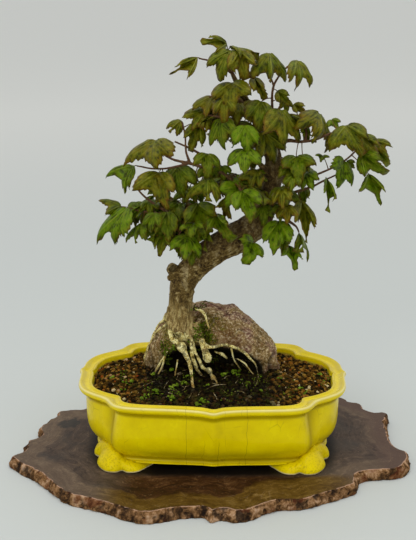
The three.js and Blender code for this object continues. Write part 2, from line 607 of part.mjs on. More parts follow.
function makeSoil(thickTree, thickStone, screens) {
  const wall = POT_INSIDE.slice(1).map(([inset, drop]) => {
    const z = POT_RIM_Z - drop;
    return [inset + 2 * GAP, Math.max(z, POT_FLOOR_Z + GAP)];
  });
  const crown = SOIL_CROWN.map(([inset, rise]) => [inset, POT_RIM_Z - POT_INSIDE[1][1] + rise]);
  const rings = [...wall.reverse(), ...crown].map(([inset, z]) => potRing(inset, z));
  return loft(rings).rotate([0, 0, POT_TURN]).subtract(thickTree).subtract(thickStone).subtract(screens);
}

// Assembly

const tree = makeTree(0);
const thickTree = makeTree(GAP);
const stone = makeStone().subtract(thickTree);
const screens = { left: makeScreen(-DRAIN_HOLE_X), right: makeScreen(DRAIN_HOLE_X) };

const thickScreens = makeScreenRoom(-DRAIN_HOLE_X).add(makeScreenRoom(DRAIN_HOLE_X));

const bonsai = new THREE.Group();
bonsai.add(piece("wood_slab", makeSlab(), walnut));
bonsai.add(piece("pot", makePot(), yellowGlaze));
for (const [side, screen] of Object.entries(screens)) {
  bonsai.add(piece(`drain_screen_${side}`, screen, darkPlastic));
}
bonsai.add(piece("soil", makeSoil(thickTree, makeStone(2 * GAP), thickScreens), darkSoil));
bonsai.add(piece("stone", stone, mauveStone));
bonsai.add(piece("tree", tree, bark));

const leafSolids = [];
const stalkRoots = [];
for (const [number, row] of LEAVES.entries()) {
  const leaf = makeLeaf(row, thickTree, leafSolids, stalkRoots);
  leafSolids.push(leaf);
  bonsai.add(piece(`leaf_${String(number + 1).padStart(2, "0")}`, leaf, leafGreen));
}

export default bonsai;
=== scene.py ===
"""Trident maple bonsai, rooted over a stone in a lobed yellow pot, on a slice of wood with its live edge.

The unit of every length is the millimetre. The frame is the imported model's: +X right, +Y away from the
front, +Z up, with the origin under the middle of the slab.
"""

import math

import bmesh
import bpy
import numpy as np
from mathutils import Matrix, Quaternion, Vector, noise
from mathutils.bvhtree import BVHTree
from mathutils.kdtree import KDTree


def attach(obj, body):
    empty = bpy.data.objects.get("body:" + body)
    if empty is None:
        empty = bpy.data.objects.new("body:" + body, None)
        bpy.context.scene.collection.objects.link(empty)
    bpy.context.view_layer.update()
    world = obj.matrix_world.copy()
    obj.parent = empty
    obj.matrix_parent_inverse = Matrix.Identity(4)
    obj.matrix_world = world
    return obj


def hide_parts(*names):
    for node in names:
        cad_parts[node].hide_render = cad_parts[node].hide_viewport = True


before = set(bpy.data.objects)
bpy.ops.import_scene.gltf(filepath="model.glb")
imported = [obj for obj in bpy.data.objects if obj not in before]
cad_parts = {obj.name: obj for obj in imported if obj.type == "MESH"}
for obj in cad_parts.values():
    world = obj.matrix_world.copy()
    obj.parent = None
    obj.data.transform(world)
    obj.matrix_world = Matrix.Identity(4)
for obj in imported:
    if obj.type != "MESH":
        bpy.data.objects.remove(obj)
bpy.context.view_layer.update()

# The camera
# It stands a little above the rim, square to the pot's front, where the photograph was taken.

METRE = 1000.0
IMAGE_HEIGHT = 540
SENSOR = 36.0
FOCAL_PIXELS = 1017
CAMERA_TARGET = Vector((-5, 0, 213))
CAMERA_AZIMUTH = math.radians(0.3)
CAMERA_ELEVATION = math.radians(16.8)
CAMERA_DISTANCE = 1110

outwards = Vector((
    math.sin(CAMERA_AZIMUTH) * math.cos(CAMERA_ELEVATION),
    -math.cos(CAMERA_AZIMUTH) * math.cos(CAMERA_ELEVATION),
    math.sin(CAMERA_ELEVATION),
))
VIEW_POINT = CAMERA_TARGET + CAMERA_DISTANCE * outwards
camera = bpy.data.objects.new("camera", bpy.data.cameras.new("camera"))
camera.location = VIEW_POINT / METRE
camera.rotation_euler = (-outwards).to_track_quat("-Z", "Y").to_euler()
camera.data.sensor_width = SENSOR
camera.data.lens = SENSOR * FOCAL_PIXELS / IMAGE_HEIGHT
bpy.context.scene.collection.objects.link(camera)
bpy.context.scene.camera = camera

# The slab
# A slice across a gnarled log, planed flat on both faces and oiled, with its bark edge left on. The
# heartwood is dark and purplish, and the sapwood along the front is golden brown.

SLAB_THICKNESS = 12
SLAB_OUTLINE = [
    (-156, 84), (-172, 79), (-186, 74), (-192, 60), (-199, 45), (-204, 24), (-198, 11), (-204, 0),
    (-213, -6), (-215, -30), (-222, -38), (-225, -49), (-213, -64), (-200, -76), (-186, -88),
    (-176, -101), (-165, -114), (-154, -128), (-135, -139), (-121, -144), (-105, -152), (-88, -163),
    (-66, -170), (-48, -166), (-32, -161), (-10, -158), (-1, -167), (8, -164), (30, -167), (45, -158),
    (55, -150), (72, -143), (90, -142), (108, -135), (122, -127), (140, -116), (153, -106), (158, -86),
    (180, -79), (198, -77), (212, -66), (219, -50), (219, -34), (208, -20), (203, -2), (206, 18),
    (209, 48), (215, 66), (208, 75), (196, 72), (188, 82), (188, 92), (182, 101), (172, 106),
    (164, 117), (140, 124), (108, 130), (66, 142), (24, 147), (-22, 150), (-70, 141), (-112, 128),
    (-140, 106),
]
SLAB_COLUMNS, FLAT_RINGS = 900, 26
EDGE_LEAN, LEAN_CHANGE, GNARL = 4.5, 3.5, 1.1
SCORCHED_SPOT = (-170.0, 37.0, 12.0)
INSET_COLUMNS = 260
KNOT_STEPS = 24

# Each row up the live edge: how far in it lies, its height as a part of the thickness, how rough it
# is, and how much of it is bark
EDGE_ROWS = [
    (3.0, 0.0, 0.0, 0.3), (1.2, 0.0, 0.3, 0.8), (0.3, 0.06, 0.8, 1.0), (0.3, 0.14, 1.4, 1.0),
    (0.2, 0.25, 1.9, 1.0), (0.0, 0.37, 2.3, 1.0), (-0.1, 0.5, 2.4, 1.0), (-0.3, 0.64, 2.3, 1.0),
    (-0.2, 0.78, 2.0, 1.0), (0.0, 0.9, 1.6, 1.0), (0.4, 0.96, 1.3, 0.9), (1.2, 0.995, 1.0, 0.2),
    (2.2, 1.0, 0.6, 0.0), (3.4, 1.0, 0.3, 0.0),
]


def between(a, b, c, d, t):
    """The smooth curve from b to c on the way from a to d, as t goes from 0 to 1."""
    return 0.5 * (2 * b + (c - a) * t + (2 * a - 5 * b + 4 * c - d) * t**2 + (3 * b - a - 3 * c + d) * t**3)


def through_closed(points, count):
    """A smooth closed curve through the points, as evenly spaced places."""
    knots = np.asarray(points, float)
    four = [np.roll(knots, back, 0)[:, None, :] for back in (1, 0, -1, -2)]
    t = np.linspace(0, 1, KNOT_STEPS, endpoint=False)[None, :, None]
    fine = between(*four, t).reshape(-1, knots.shape[1])
    closed = np.vstack([fine, fine[:1]])
    length = np.concatenate([[0], np.cumsum(np.linalg.norm(np.diff(closed, axis=0), axis=1))])
    wanted = np.linspace(0, length[-1], count, endpoint=False)
    return np.stack([np.interp(wanted, length, closed[:, k]) for k in range(knots.shape[1])], 1)


def unit(vectors):
    """Each vector with its length made 1."""
    return vectors / np.linalg.norm(vectors, axis=1)[:, None]


def at_height(flat, z):
    """Flat points lifted to one height, or each to its own."""
    return np.column_stack([flat, np.broadcast_to(z, len(flat))])


def rough(points, size, octaves=4, seed=0):
    """Fractal noise from about -1 to 1 at each point, whose largest lumps are size across."""
    shift = Vector((17.3 * seed, 9.1 * seed, 5.7 * seed))
    return np.array([noise.fractal(Vector(p) / size + shift, 1.0, 2.0, octaves) for p in points])


def closed_skin(rows):
    """Points and faces of a skin over rings of equal counts, with a fan over each end."""
    rings, columns = len(rows), len(rows[0])
    points = np.vstack([np.vstack(rows), rows[0].mean(0), rows[-1].mean(0)])
    first, last = rings * columns, rings * columns + 1
    faces = []
    for column in range(columns):
        after = (column + 1) % columns
        faces.append((first, after, column))
        faces.append((last, (rings - 1) * columns + column, (rings - 1) * columns + after))
        for ring in range(rings - 1):
            here, above = ring * columns, (ring + 1) * columns
            faces.append((here + column, here + after, above + after, above + column))
    return points, faces


def add_marks(piece, **marks):
    """Gives the mesh numbers, or vectors, for each of its points."""
    for mark, values in marks.items():
        values = np.asarray(values, np.float32)
        kind, key = ("FLOAT", "value") if values.ndim == 1 else ("FLOAT_VECTOR", "vector")
        piece.data.attributes.new(mark, kind, "POINT").data.foreach_set(key, values.ravel())


def make_piece(name, points, faces, smooth=True, **marks):
    """A mesh object from points in millimetres, with its marks."""
    mesh = bpy.data.meshes.new(name)
    mesh.from_pydata((np.asarray(points, float) / METRE).tolist(), [], faces)
    mesh.polygons.foreach_set("use_smooth", [smooth] * len(faces))
    piece = bpy.data.objects.new(name, mesh)
    bpy.context.scene.collection.objects.link(piece)
    add_marks(piece, **marks)
    return piece


def colour(red, green, blue):
    """A shader colour from a screen colour of 0 to 255."""
    screen = np.array([red, green, blue]) / 255
    linear = np.where(screen <= 0.04045, screen / 12.92, ((screen + 0.055) / 1.055) ** 2.4)
    return (*linear.tolist(), 1.0)


class Signal:
    """A shader socket that adds a Math node wherever it is used in arithmetic."""

    def __init__(self, finish, socket):
        self.finish = finish
        self.socket = socket

    def __add__(self, other):
        return self.finish.maths("ADD", self, other)

    def __sub__(self, other):
        return self.finish.maths("SUBTRACT", self, other)

    def __rsub__(self, other):
        return self.finish.maths("SUBTRACT", other, self)

    def __mul__(self, other):
        return self.finish.maths("MULTIPLY", self, other)

    def __truediv__(self, other):
        return self.finish.maths("DIVIDE", self, other)

    def __pow__(self, power):
        return self.finish.maths("POWER", self, power)

    def __abs__(self):
        return self.finish.maths("ABSOLUTE", self)

    __radd__ = __add__
    __rmul__ = __mul__


class Finish:
    """A material on one Principled shader. The keyword values are constants on the shader's sockets."""

    def __init__(self, name, **constants):
        self.material = bpy.data.materials.new(name)
        self.material.use_nodes = True
        self.tree = self.material.node_tree
        self.shader = self.tree.nodes["Principled BSDF"]
        for socket, value in constants.items():
            self.shader.inputs[socket.replace("_", " ")].default_value = value
        self.place = self.scaled(self.node("ShaderNodeTexCoord", output="Object"), (METRE,) * 3)

    def node(self, kind, sockets=(), output=0, **settings):
        """A node of a kind, with its settings made first and then its sockets, and one of its outputs."""
        node = self.tree.nodes.new(kind)
        for setting, value in settings.items():
            if setting == "stops":
                self.set_stops(node.color_ramp.elements, value)
            else:
                setattr(node, setting, value)
        for socket, value in dict(sockets).items():
            self.feed(node.inputs[socket], value)
        return Signal(self, node.outputs[output])

    def set_stops(self, elements, stops):
        while len(elements) < len(stops):
            elements.new(1.0)
        for element, (position, *shade) in zip(elements, stops):
            element.position = position
            element.color = colour(*shade)

    def feed(self, socket, value):
        """Links a signal to a socket, or sets a constant on it. A screen colour is three numbers."""
        if isinstance(value, Signal):
            self.tree.links.new(value.socket, socket)
        elif socket.type == "RGBA":
            socket.default_value = colour(*value)
        else:
            socket.default_value = value

    def maths(self, operation, *values):
        return self.node("ShaderNodeMath", enumerate(values), operation=operation)

    def scaled(self, vector, by):
        return self.node("ShaderNodeVectorMath", {0: vector, 1: by}, operation="MULTIPLY")

    def away_from(self, spot):
        """How far each place is from a spot."""
        return self.node("ShaderNodeVectorMath", {0: self.place, 1: spot}, "Value", operation="DISTANCE")

    def painted(self, shade, *coats):
        """A colour with coats laid over it in turn. A coat is its cover, from 0 to 1, and its colour."""
        for cover, coat in coats:
            shade = self.node("ShaderNodeMix", {0: cover, 6: shade, 7: coat}, 2, data_type="RGBA")
        return shade

    def step(self, value, low, high):
        """0 below low and 1 above high, smooth between them."""
        sockets = {"Value": value, "From Min": low, "From Max": high}
        return self.node("ShaderNodeMapRange", sockets, interpolation_type="SMOOTHSTEP")

    def ramp(self, value, *stops):
        """A colour for each value. A stop is a value and the screen colour's red, green and blue there."""
        return self.node("ShaderNodeValToRGB", {"Fac": value}, stops=stops)

    def lumps(self, size, detail=4.0, harsh=0.5, twist=0.0, place=None):
        """Noise from 0 to 1 whose largest lumps are size across."""
        sockets = {
            "Vector": place or self.place, "Scale": 1 / size, "Detail": detail,
            "Roughness": harsh, "Distortion": twist,
        }
        return self.node("ShaderNodeTexNoise", sockets, "Fac")

    def spots(self, size, low, high, detail=4.0, harsh=0.5):
        """Ragged spots: 0 where such noise is below low, and 1 where it is above high."""
        return self.step(self.lumps(size, detail, harsh), low, high)

    def web(self, size, stretch):
        """How far each place is from the nearest line of a web, as a part of its meshes' size."""
        sockets = {"Vector": self.scaled(self.place, stretch), "Scale": 1 / size}
        return self.node("ShaderNodeTexVoronoi", sockets, "Distance", feature="DISTANCE_TO_EDGE")

    def mark(self, name, output="Fac"):
        """A number, or by another output a vector, that the mesh holds at each of its points."""
        return self.node("ShaderNodeAttribute", output=output, attribute_name=name)

    def along(self, axis):
        """One coordinate of the place, by its letter."""
        return self.node("ShaderNodeSeparateXYZ", {0: self.place}, axis)

    def dress(self, shade, gloss, height, depth):
        """Feeds the colour, the roughness, and a relief of a depth in millimetres."""
        relief = {"Height": height, "Distance": depth / METRE, "Strength": 1.0}
        self.feed(self.shader.inputs["Base Color"], shade)
        self.feed(self.shader.inputs["Roughness"], gloss)
        self.feed(self.shader.inputs["Normal"], self.node("ShaderNodeBump", relief))
        return self.material


def slab_rings():
    """Rings from the middle of the underside to the middle of the top, with bark and roughness for each."""
    outline = through_closed(SLAB_OUTLINE, SLAB_COLUMNS)
    tangent = np.roll(outline, -6, 0) - np.roll(outline, 6, 0)
    inwards = unit(np.stack([-tangent[:, 1], tangent[:, 0]], 1))
    at_rim = at_height(outline, 0)
    lean = EDGE_LEAN + LEAN_CHANGE * np.clip(rough(at_rim, 38, 2, 1), -0.8, 1.6)
    gnarl = GNARL * rough(at_rim, 9, 4, 2)
    edge = []
    for inset, rise, _, _ in EDGE_ROWS:
        flat = outline + inwards * (inset + lean * rise**1.3 + gnarl)[:, None]
        edge.append(at_height(flat, SLAB_THICKNESS * rise))
    shares = np.arange(1, FLAT_RINGS + 1) / (FLAT_RINGS + 1)
    underside = [edge[0] * (share, share, 1) for share in shares[::3]]
    top = [edge[-1] * (share, share, 1) for share in shares[::-1]]
    crags, barks = ([0] * len(underside) + [row[k] for row in EDGE_ROWS] + [0] * len(top) for k in (2, 3))
    return underside + edge + top, barks, crags


def make_slab():
    rings, barks, crags = slab_rings()
    points, faces = closed_skin(rings)
    bark, depth = (np.append(np.repeat(marks, SLAB_COLUMNS), [0, 0]) for marks in (barks, crags))
    edge = depth > 0
    coarse = rough(points[edge] * (1, 1, 0.6), 13, 3, 6)
    middling, fine = rough(points[edge] * (1, 1, 0.7), 5.5, 4, 3), rough(points[edge], 2.2, 3, 4)
    crag = np.zeros(len(points))
    crag[edge] = coarse + 0.8 * middling + 0.4 * fine
    out = points * (1, 1, 0) / np.maximum(np.linalg.norm(points[:, :2], axis=1), 1)[:, None]
    points = points + out * (depth * crag)[:, None]
    rim = through_closed(SLAB_OUTLINE, INSET_COLUMNS)
    inset = [np.sqrt(((rim - point[:2]) ** 2).sum(1).min()) for point in points]
    return make_piece("live_edge_slab", points, faces, bark=bark, crag=crag, inset=inset)


def oiled_wood():
    wood = Finish("oiled_wood", Specular_IOR_Level=0.1)
    x, y, inset, rim = wood.along("X"), wood.along("Y"), wood.mark("inset"), wood.mark("bark")
    warp, bits, patches = wood.lumps(60, 3), wood.lumps(4.5, 5, 0.7, 1.0), wood.lumps(12, 3, 0.5, 0.6)
    uneven = inset + 34 * (warp - 0.5) + 14 * (wood.lumps(11, 5, 0.6) - 0.5)
    rings = wood.node("ShaderNodeCombineXYZ", {0: uneven, 1: 0.07 * x, 2: 0.07 * y})
    fine = wood.lumps(1.7, 4, 0.62, place=rings)
    figure = 0.22 * wood.lumps(11, 3, 0.55, place=rings) + 0.43 * fine + 0.35 * wood.lumps(13, 6, 0.68, 0.8)
    heart = wood.ramp(figure, (0.36, 46, 36, 30), (0.46, 67, 54, 45), (0.54, 83, 68, 56), (0.64, 108, 90, 74))
    redder = wood.ramp(figure, (0.38, 28, 11, 5), (0.47, 48, 26, 12), (0.54, 70, 43, 23), (0.64, 116, 84, 54))
    golden = wood.ramp(
        figure, (0.36, 54, 34, 8), (0.46, 80, 56, 16), (0.55, 100, 75, 28), (0.66, 140, 112, 62),
    )
    tan = wood.ramp(figure, (0.32, 76, 60, 48), (0.5, 98, 81, 65), (0.68, 124, 106, 86))
    front = wood.step(y + 14 * (warp - 0.5), -84.0, -97.0)
    middle = front * wood.step(abs(x - 8), 124.0, 84.0)
    sap = wood.step(uneven - 17 * wood.step(x, -10.0, 70.0) * front, 31.0, 23.0)
    golden = wood.painted(tan, (front * wood.step(abs(x - 20), 150.0, 110.0), golden))
    purple = wood.step(x, 172.0, 196.0) + wood.step(y, 62.0, 84.0) * wood.step(inset, 26.0, 16.0)
    scorched = wood.step(wood.away_from(SCORCHED_SPOT) + 26 * (wood.lumps(12, 3) - 0.5), 15.0, 10.0)
    scratches = wood.step(wood.web(13, (1.0, 0.5, 1.0)), 0.03, 0.008) * wood.spots(24, 0.56, 0.68, 3)
    # A painted shadow: the top darkens almost to black under the pot's footprint
    painted_pot_shadow = wood.step((abs(x / 140)) ** 4 + (abs(y / 93)) ** 4, 1.15, 0.72)
    face = wood.painted(
        heart,
        (0.5 * wood.spots(46, 0.5, 0.66, 2), (68, 62, 56)),
        (middle, redder),
        (0.9 * sap, golden),
        (0.6 * purple, (82, 60, 52)),
        (0.8 * scorched, (48, 46, 42)),
        (0.25 * scratches, (158, 132, 98)),
        (0.35 * wood.spots(2.6, 0.66, 0.74, 2), (140, 114, 86)),
        (0.5 * wood.spots(1.5, 0.36, 0.3, 2), (34, 24, 18)),
        (0.92 * painted_pot_shadow, (10, 7, 4)),
    )
    bark = wood.painted(
        wood.ramp(
            0.55 * patches + 0.45 * bits,
            (0.36, 30, 21, 13), (0.45, 76, 52, 30), (0.52, 130, 94, 58), (0.59, 172, 134, 98),
            (0.7, 208, 176, 148),
        ),
        # Painted shade in the bark's crevices, where the edge dips in
        (0.85 * wood.step(wood.mark("crag"), 0.05, -0.8), (28, 20, 16)),
        (0.5 * wood.spots(17, 0.58, 0.66, 2), (98, 46, 24)),
    )
    # A painted highlight: a pale line along the slab's rounded edges, where the bark meets the face
    painted_rim_highlight = wood.step(abs(rim - 0.5), 0.45, 0.1) * wood.step(patches, 0.42, 0.5)
    surface = wood.painted(face, (wood.step(rim, 0.1, 0.6), bark), (0.6 * painted_rim_highlight, (196, 160, 136)))
    relief = fine * 0.3 * (1 - rim) + bits * rim * 2.4
    return wood.dress(surface, 0.38 + 0.2 * fine + 0.4 * rim, relief, 0.4)


slab = make_slab()
slab.data.materials.append(oiled_wood())
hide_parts("wood_slab")
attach(slab, "root")

# The pot
# One fired piece of clay, thrown and pressed to a lobed plan with a rolled lip, a moulding round its
# base and four bracket feet, dipped in a yellow glaze that has crazed. The inside is left bare.

POT_HALF_LENGTH, POT_HALF_WIDTH = 153, 109
POT_RIM_Z, POT_UNDERSIDE_Z = SLAB_THICKNESS + 80, SLAB_THICKNESS + 8
POT_TURN = math.radians(-1.2)
POT_QUARTER = [
    (151, 0), (149, 6), (148, 15), (147, 30), (143, 43), (136.5, 53), (126.5, 61.5), (117.5, 68),
    (111.5, 74), (107.5, 81), (103, 88), (97, 92.8), (89, 95.6), (78, 97.4), (62, 98.6), (45, 99.6),
    (28, 101), (12, 104), (0, 109),
]
NOTCH_X, NOTCH_REACH, NOTCH_FILL = 110, 20, (15, 3)
GROOVE_AT, GROOVE_WIDTH, GROOVE_DEPTH, GROOVE_FULL_AT = 75.5, 6.5, 2.8, 7
# Where the lip's painted highlight lies: its row in the lip's profile, and how many rows it spreads over
SHOULDER_ROW, SHOULDER_ROWS = 17.6, 1.1
SIDE_STRAIGHT_X, FRONT_STRAIGHT_Y = 148, 100
POINT_AT_BASE = 0.4
SIDE_POINT_BACK, SIDE_POINT_REACH = 9, 35
FRONT_POINT_RIGHT, FRONT_POINT_REACH = 3.5, 40
POT_COLUMNS = 520

# Each pair is an inset from the rim's outline and a drop below the rim
POT_OUTSIDE = [
    (92, 72), (25, 72), (21.2, 71.3), (20.4, 69.6), (21.4, 67.6), (20.6, 65.4), (16.2, 60.6), (11, 53),
    (8.6, 44), (7.8, 33), (7.7, 22), (7.9, 15), (7.2, 11.6), (5.4, 9.2), (2.6, 7.4), (0.7, 5.8),
    (0, 3.8), (0.3, 1.6), (1.3, 0.3), (3, 0),
]
POT_LIP_TOP = [(5, 1), (8, 2.7), (11, 2.7), (12.8, 1.5), (14.2, 1.3)]
POT_INSIDE = [(15.3, 2.8), (16.2, 9), (18, 26), (24, 46), (34, 58), (46, 61), (92, 61)]
ROWS_BETWEEN = 4

FOOT_PLAN = [
    (-62, -62), (-69, -76), (-78, -86), (-88, -88), (-95, -84), (-102, -88), (-112, -86), (-120, -77),
    (-124, -66), (-122, -54), (-129, -47), (-130, -37), (-126, -27), (-116, -21), (-106, -32),
    (-101, -50), (-89, -60),
]
FOOT_MIDDLE = np.array([-100, -62])
FOOT_COLUMNS = 120

# Each row is a foot's height above the slab, its spread, and how far its scallops have faded
FOOT_RISE = [
    (0, 0.965, 0), (0.5, 0.985, 0), (1.4, 1.0, 0), (3, 0.99, 0.1), (6, 0.945, 0.3), (9, 0.875, 0.5),
    (12, 0.78, 0.7), (15, 0.65, 0.85), (17.5, 0.5, 1), (19, 0.38, 1),
]
SCALLOP_SOFTENING = 8

# A foot is tallest where it fills the notch between two lobes, and lower under the wall in front
FOOT_LOW_X, FOOT_TALL_X, FOOT_LOW = -84, -101, 0.64
FOOT_EAR, FOOT_EAR_Y = 0.22, -56
DRAIN_HOLE_RADIUS, DRAIN_HOLE_X, DRAIN_HOLE_SIDES = 9, 62, 48


def pot_plan(height):
    """The pot's outline at a height from 0 at the underside to 1 at the rim."""
    keep = POINT_AT_BASE + (1 - POINT_AT_BASE) * height
    quarter = []
    for x, y in POT_QUARTER:
        fill = max(0, 1 - abs(x - NOTCH_X) / NOTCH_REACH) * (1 - height) ** 1.6
        across = min(x, SIDE_STRAIGHT_X) + max(x - SIDE_STRAIGHT_X, 0) * keep + NOTCH_FILL[0] * fill
        away = min(y, FRONT_STRAIGHT_Y) + max(y - FRONT_STRAIGHT_Y, 0) * keep + NOTCH_FILL[1] * fill
        quarter.append((across, away))
    half = quarter + [(-x, y) for x, y in quarter[-2::-1]]
    plan = []
    for x, y in half + [(x, -y) for x, y in half[-2:0:-1]]:
        by_side = max(0, 1 - abs(y) / SIDE_POINT_REACH) if abs(x) > abs(y) else 0
        by_front = max(0, 1 - abs(x) / FRONT_POINT_REACH) if y < 0 and not by_side else 0
        plan.append((x + FRONT_POINT_RIGHT * by_front, y + SIDE_POINT_BACK * by_side))
    return plan


def turned(points):
    """Points turned with the pot, which stands a little askew on the slab."""
    x, y, z = np.asarray(points, float).T
    cos, sin = math.cos(POT_TURN), math.sin(POT_TURN)
    return np.stack([x * cos - y * sin, x * sin + y * cos, z], 1)


def in_groove(flat):
    """How much each point of the pot's outline lies in one of the grooves between two lobes, 0 to 1."""
    from_notch = np.abs(flat[:, 1]) - GROOVE_AT
    return np.exp(-(from_notch / GROOVE_WIDTH) ** 2)


def pot_ring(inset, z, columns=POT_COLUMNS):
    """The pot's outline drawn in by an inset, at a height."""
    height = min(max((z - POT_UNDERSIDE_Z) / (POT_RIM_Z - POT_UNDERSIDE_Z), 0), 1)
    along = (POT_HALF_LENGTH - inset) / POT_HALF_LENGTH, (POT_HALF_WIDTH - inset) / POT_HALF_WIDTH
    flat = through_closed(pot_plan(height), columns)
    into = in_groove(flat) * min(1, inset / GROOVE_FULL_AT)
    flat = flat * along * (1 - into * GROOVE_DEPTH / POT_HALF_WIDTH)[:, None]
    return turned(at_height(flat, z))


def with_ends(places):
    """The places as knots, with one more beyond each end."""
    knots = np.asarray(places, float)
    return np.vstack([2 * knots[0] - knots[1], knots, 2 * knots[-1] - knots[-2]])


def eased(places, steps):
    """An open smooth line through places, with the ends kept, and steps between each two."""
    knots = with_ends(places)
    line = []
    for four in zip(knots, knots[1:], knots[2:], knots[3:]):
        line += [between(*four, t) for t in np.linspace(0, 1, steps, endpoint=False)]
    return np.array([*line, knots[-2]])


def settled(piece):
    """The piece with its modifiers applied."""
    seen = piece.evaluated_get(bpy.context.evaluated_depsgraph_get())
    mesh = bpy.data.meshes.new_from_object(seen)
    piece.modifiers.clear()
    piece.data = mesh
    return piece


def joined(piece, others, operation="UNION"):
    """The piece with other solids joined to it, or cut from it."""
    for other in others:
        cut = piece.modifiers.new("solid", "BOOLEAN")
        cut.operation = operation
        cut.solver = "MANIFOLD"
        cut.object = other
    settled(piece)
    for other in others:
        bpy.data.objects.remove(other)
    return piece


def softened(loop, reach):
    """A closed loop of points, averaged with its neighbours up to reach away on both sides."""
    shares = np.hanning(2 * reach + 3)[1:-1]
    turns = [share * np.roll(loop, step, 0) for share, step in zip(shares, range(-reach, reach + 1))]
    return np.sum(turns, 0) / shares.sum()


def make_foot(to_right, to_back):
    scalloped = through_closed(FOOT_PLAN, FOOT_COLUMNS)
    plain = softened(scalloped, SCALLOP_SOFTENING) * 1.04 - FOOT_MIDDLE * 0.04
    along = np.clip((FOOT_LOW_X - plain[:, 0]) / (FOOT_LOW_X - FOOT_TALL_X), 0, 1)
    tall = FOOT_LOW + (1 - FOOT_LOW) * along * along * (3 - 2 * along)
    tall = tall + FOOT_EAR * (plain[:, 1] > FOOT_EAR_Y) * along
    rings = []
    for rise, spread, faded in FOOT_RISE:
        flat = FOOT_MIDDLE + (scalloped * (1 - faded) + plain * faded - FOOT_MIDDLE) * spread
        ring = turned(at_height(flat * (to_right, to_back), SLAB_THICKNESS + rise * tall))
        rings.append(ring if to_right * to_back > 0 else ring[::-1])
    return make_piece("foot", *closed_skin(rings))


def circle(count):
    """Evenly spaced places on a flat circle whose radius is 1."""
    turn = np.linspace(0, 2 * math.pi, count, endpoint=False)
    return np.stack([np.cos(turn), np.sin(turn)], 1)


def make_drain_hole(x):
    flat = (x, 0) + DRAIN_HOLE_RADIUS * circle(DRAIN_HOLE_SIDES)
    ends = POT_UNDERSIDE_Z - 5, POT_UNDERSIDE_Z + 20
    return make_piece("drain_hole", *closed_skin([turned(at_height(flat, z)) for z in ends]))


def make_pot():
    profile = eased(POT_OUTSIDE + POT_LIP_TOP + POT_INSIDE, ROWS_BETWEEN)
    points, faces = closed_skin([pot_ring(inset, POT_RIM_Z - drop) for inset, drop in profile])
    glazed_rows = ROWS_BETWEEN * (len(POT_OUTSIDE) + len(POT_LIP_TOP) + 0.6)
    inside = np.repeat(np.clip(np.arange(len(profile)) - glazed_rows, 0, 2) / 2, POT_COLUMNS)
    # A painted highlight along the lip's rolled outer edge, on the profile's rows near its shoulder
    from_shoulder = abs(np.arange(len(profile)) / ROWS_BETWEEN - SHOULDER_ROW)
    shoulder = np.repeat(np.clip(1 - from_shoulder / SHOULDER_ROWS, 0, 1), POT_COLUMNS)
    # The groove mark, with which the glaze darkens the grooves between the lobes: pooled glaze and painted
    # shade
    groove = np.tile(in_groove(through_closed(pot_plan(1), POT_COLUMNS)), len(profile))
    bowl = make_piece(
        "glazed_pot", points, faces, inside=[*inside, 0, 1], shoulder=[*shoulder, 0, 0],
        groove=[*groove, 0, 0], wall=np.ones(len(points)),
    )
    joined(bowl, [make_foot(right, back) for right in (1, -1) for back in (1, -1)])
    return joined(bowl, [make_drain_hole(side * DRAIN_HOLE_X) for side in (1, -1)], "DIFFERENCE")


def crack(glaze, across, upwards, at, wander, width):
    """A hairline crack that runs up the wall at a place across it."""
    path = across - at - wander * (glaze.lumps(22, 3, place=upwards) - 0.5)
    return glaze.step(abs(path), width, width * 0.3)


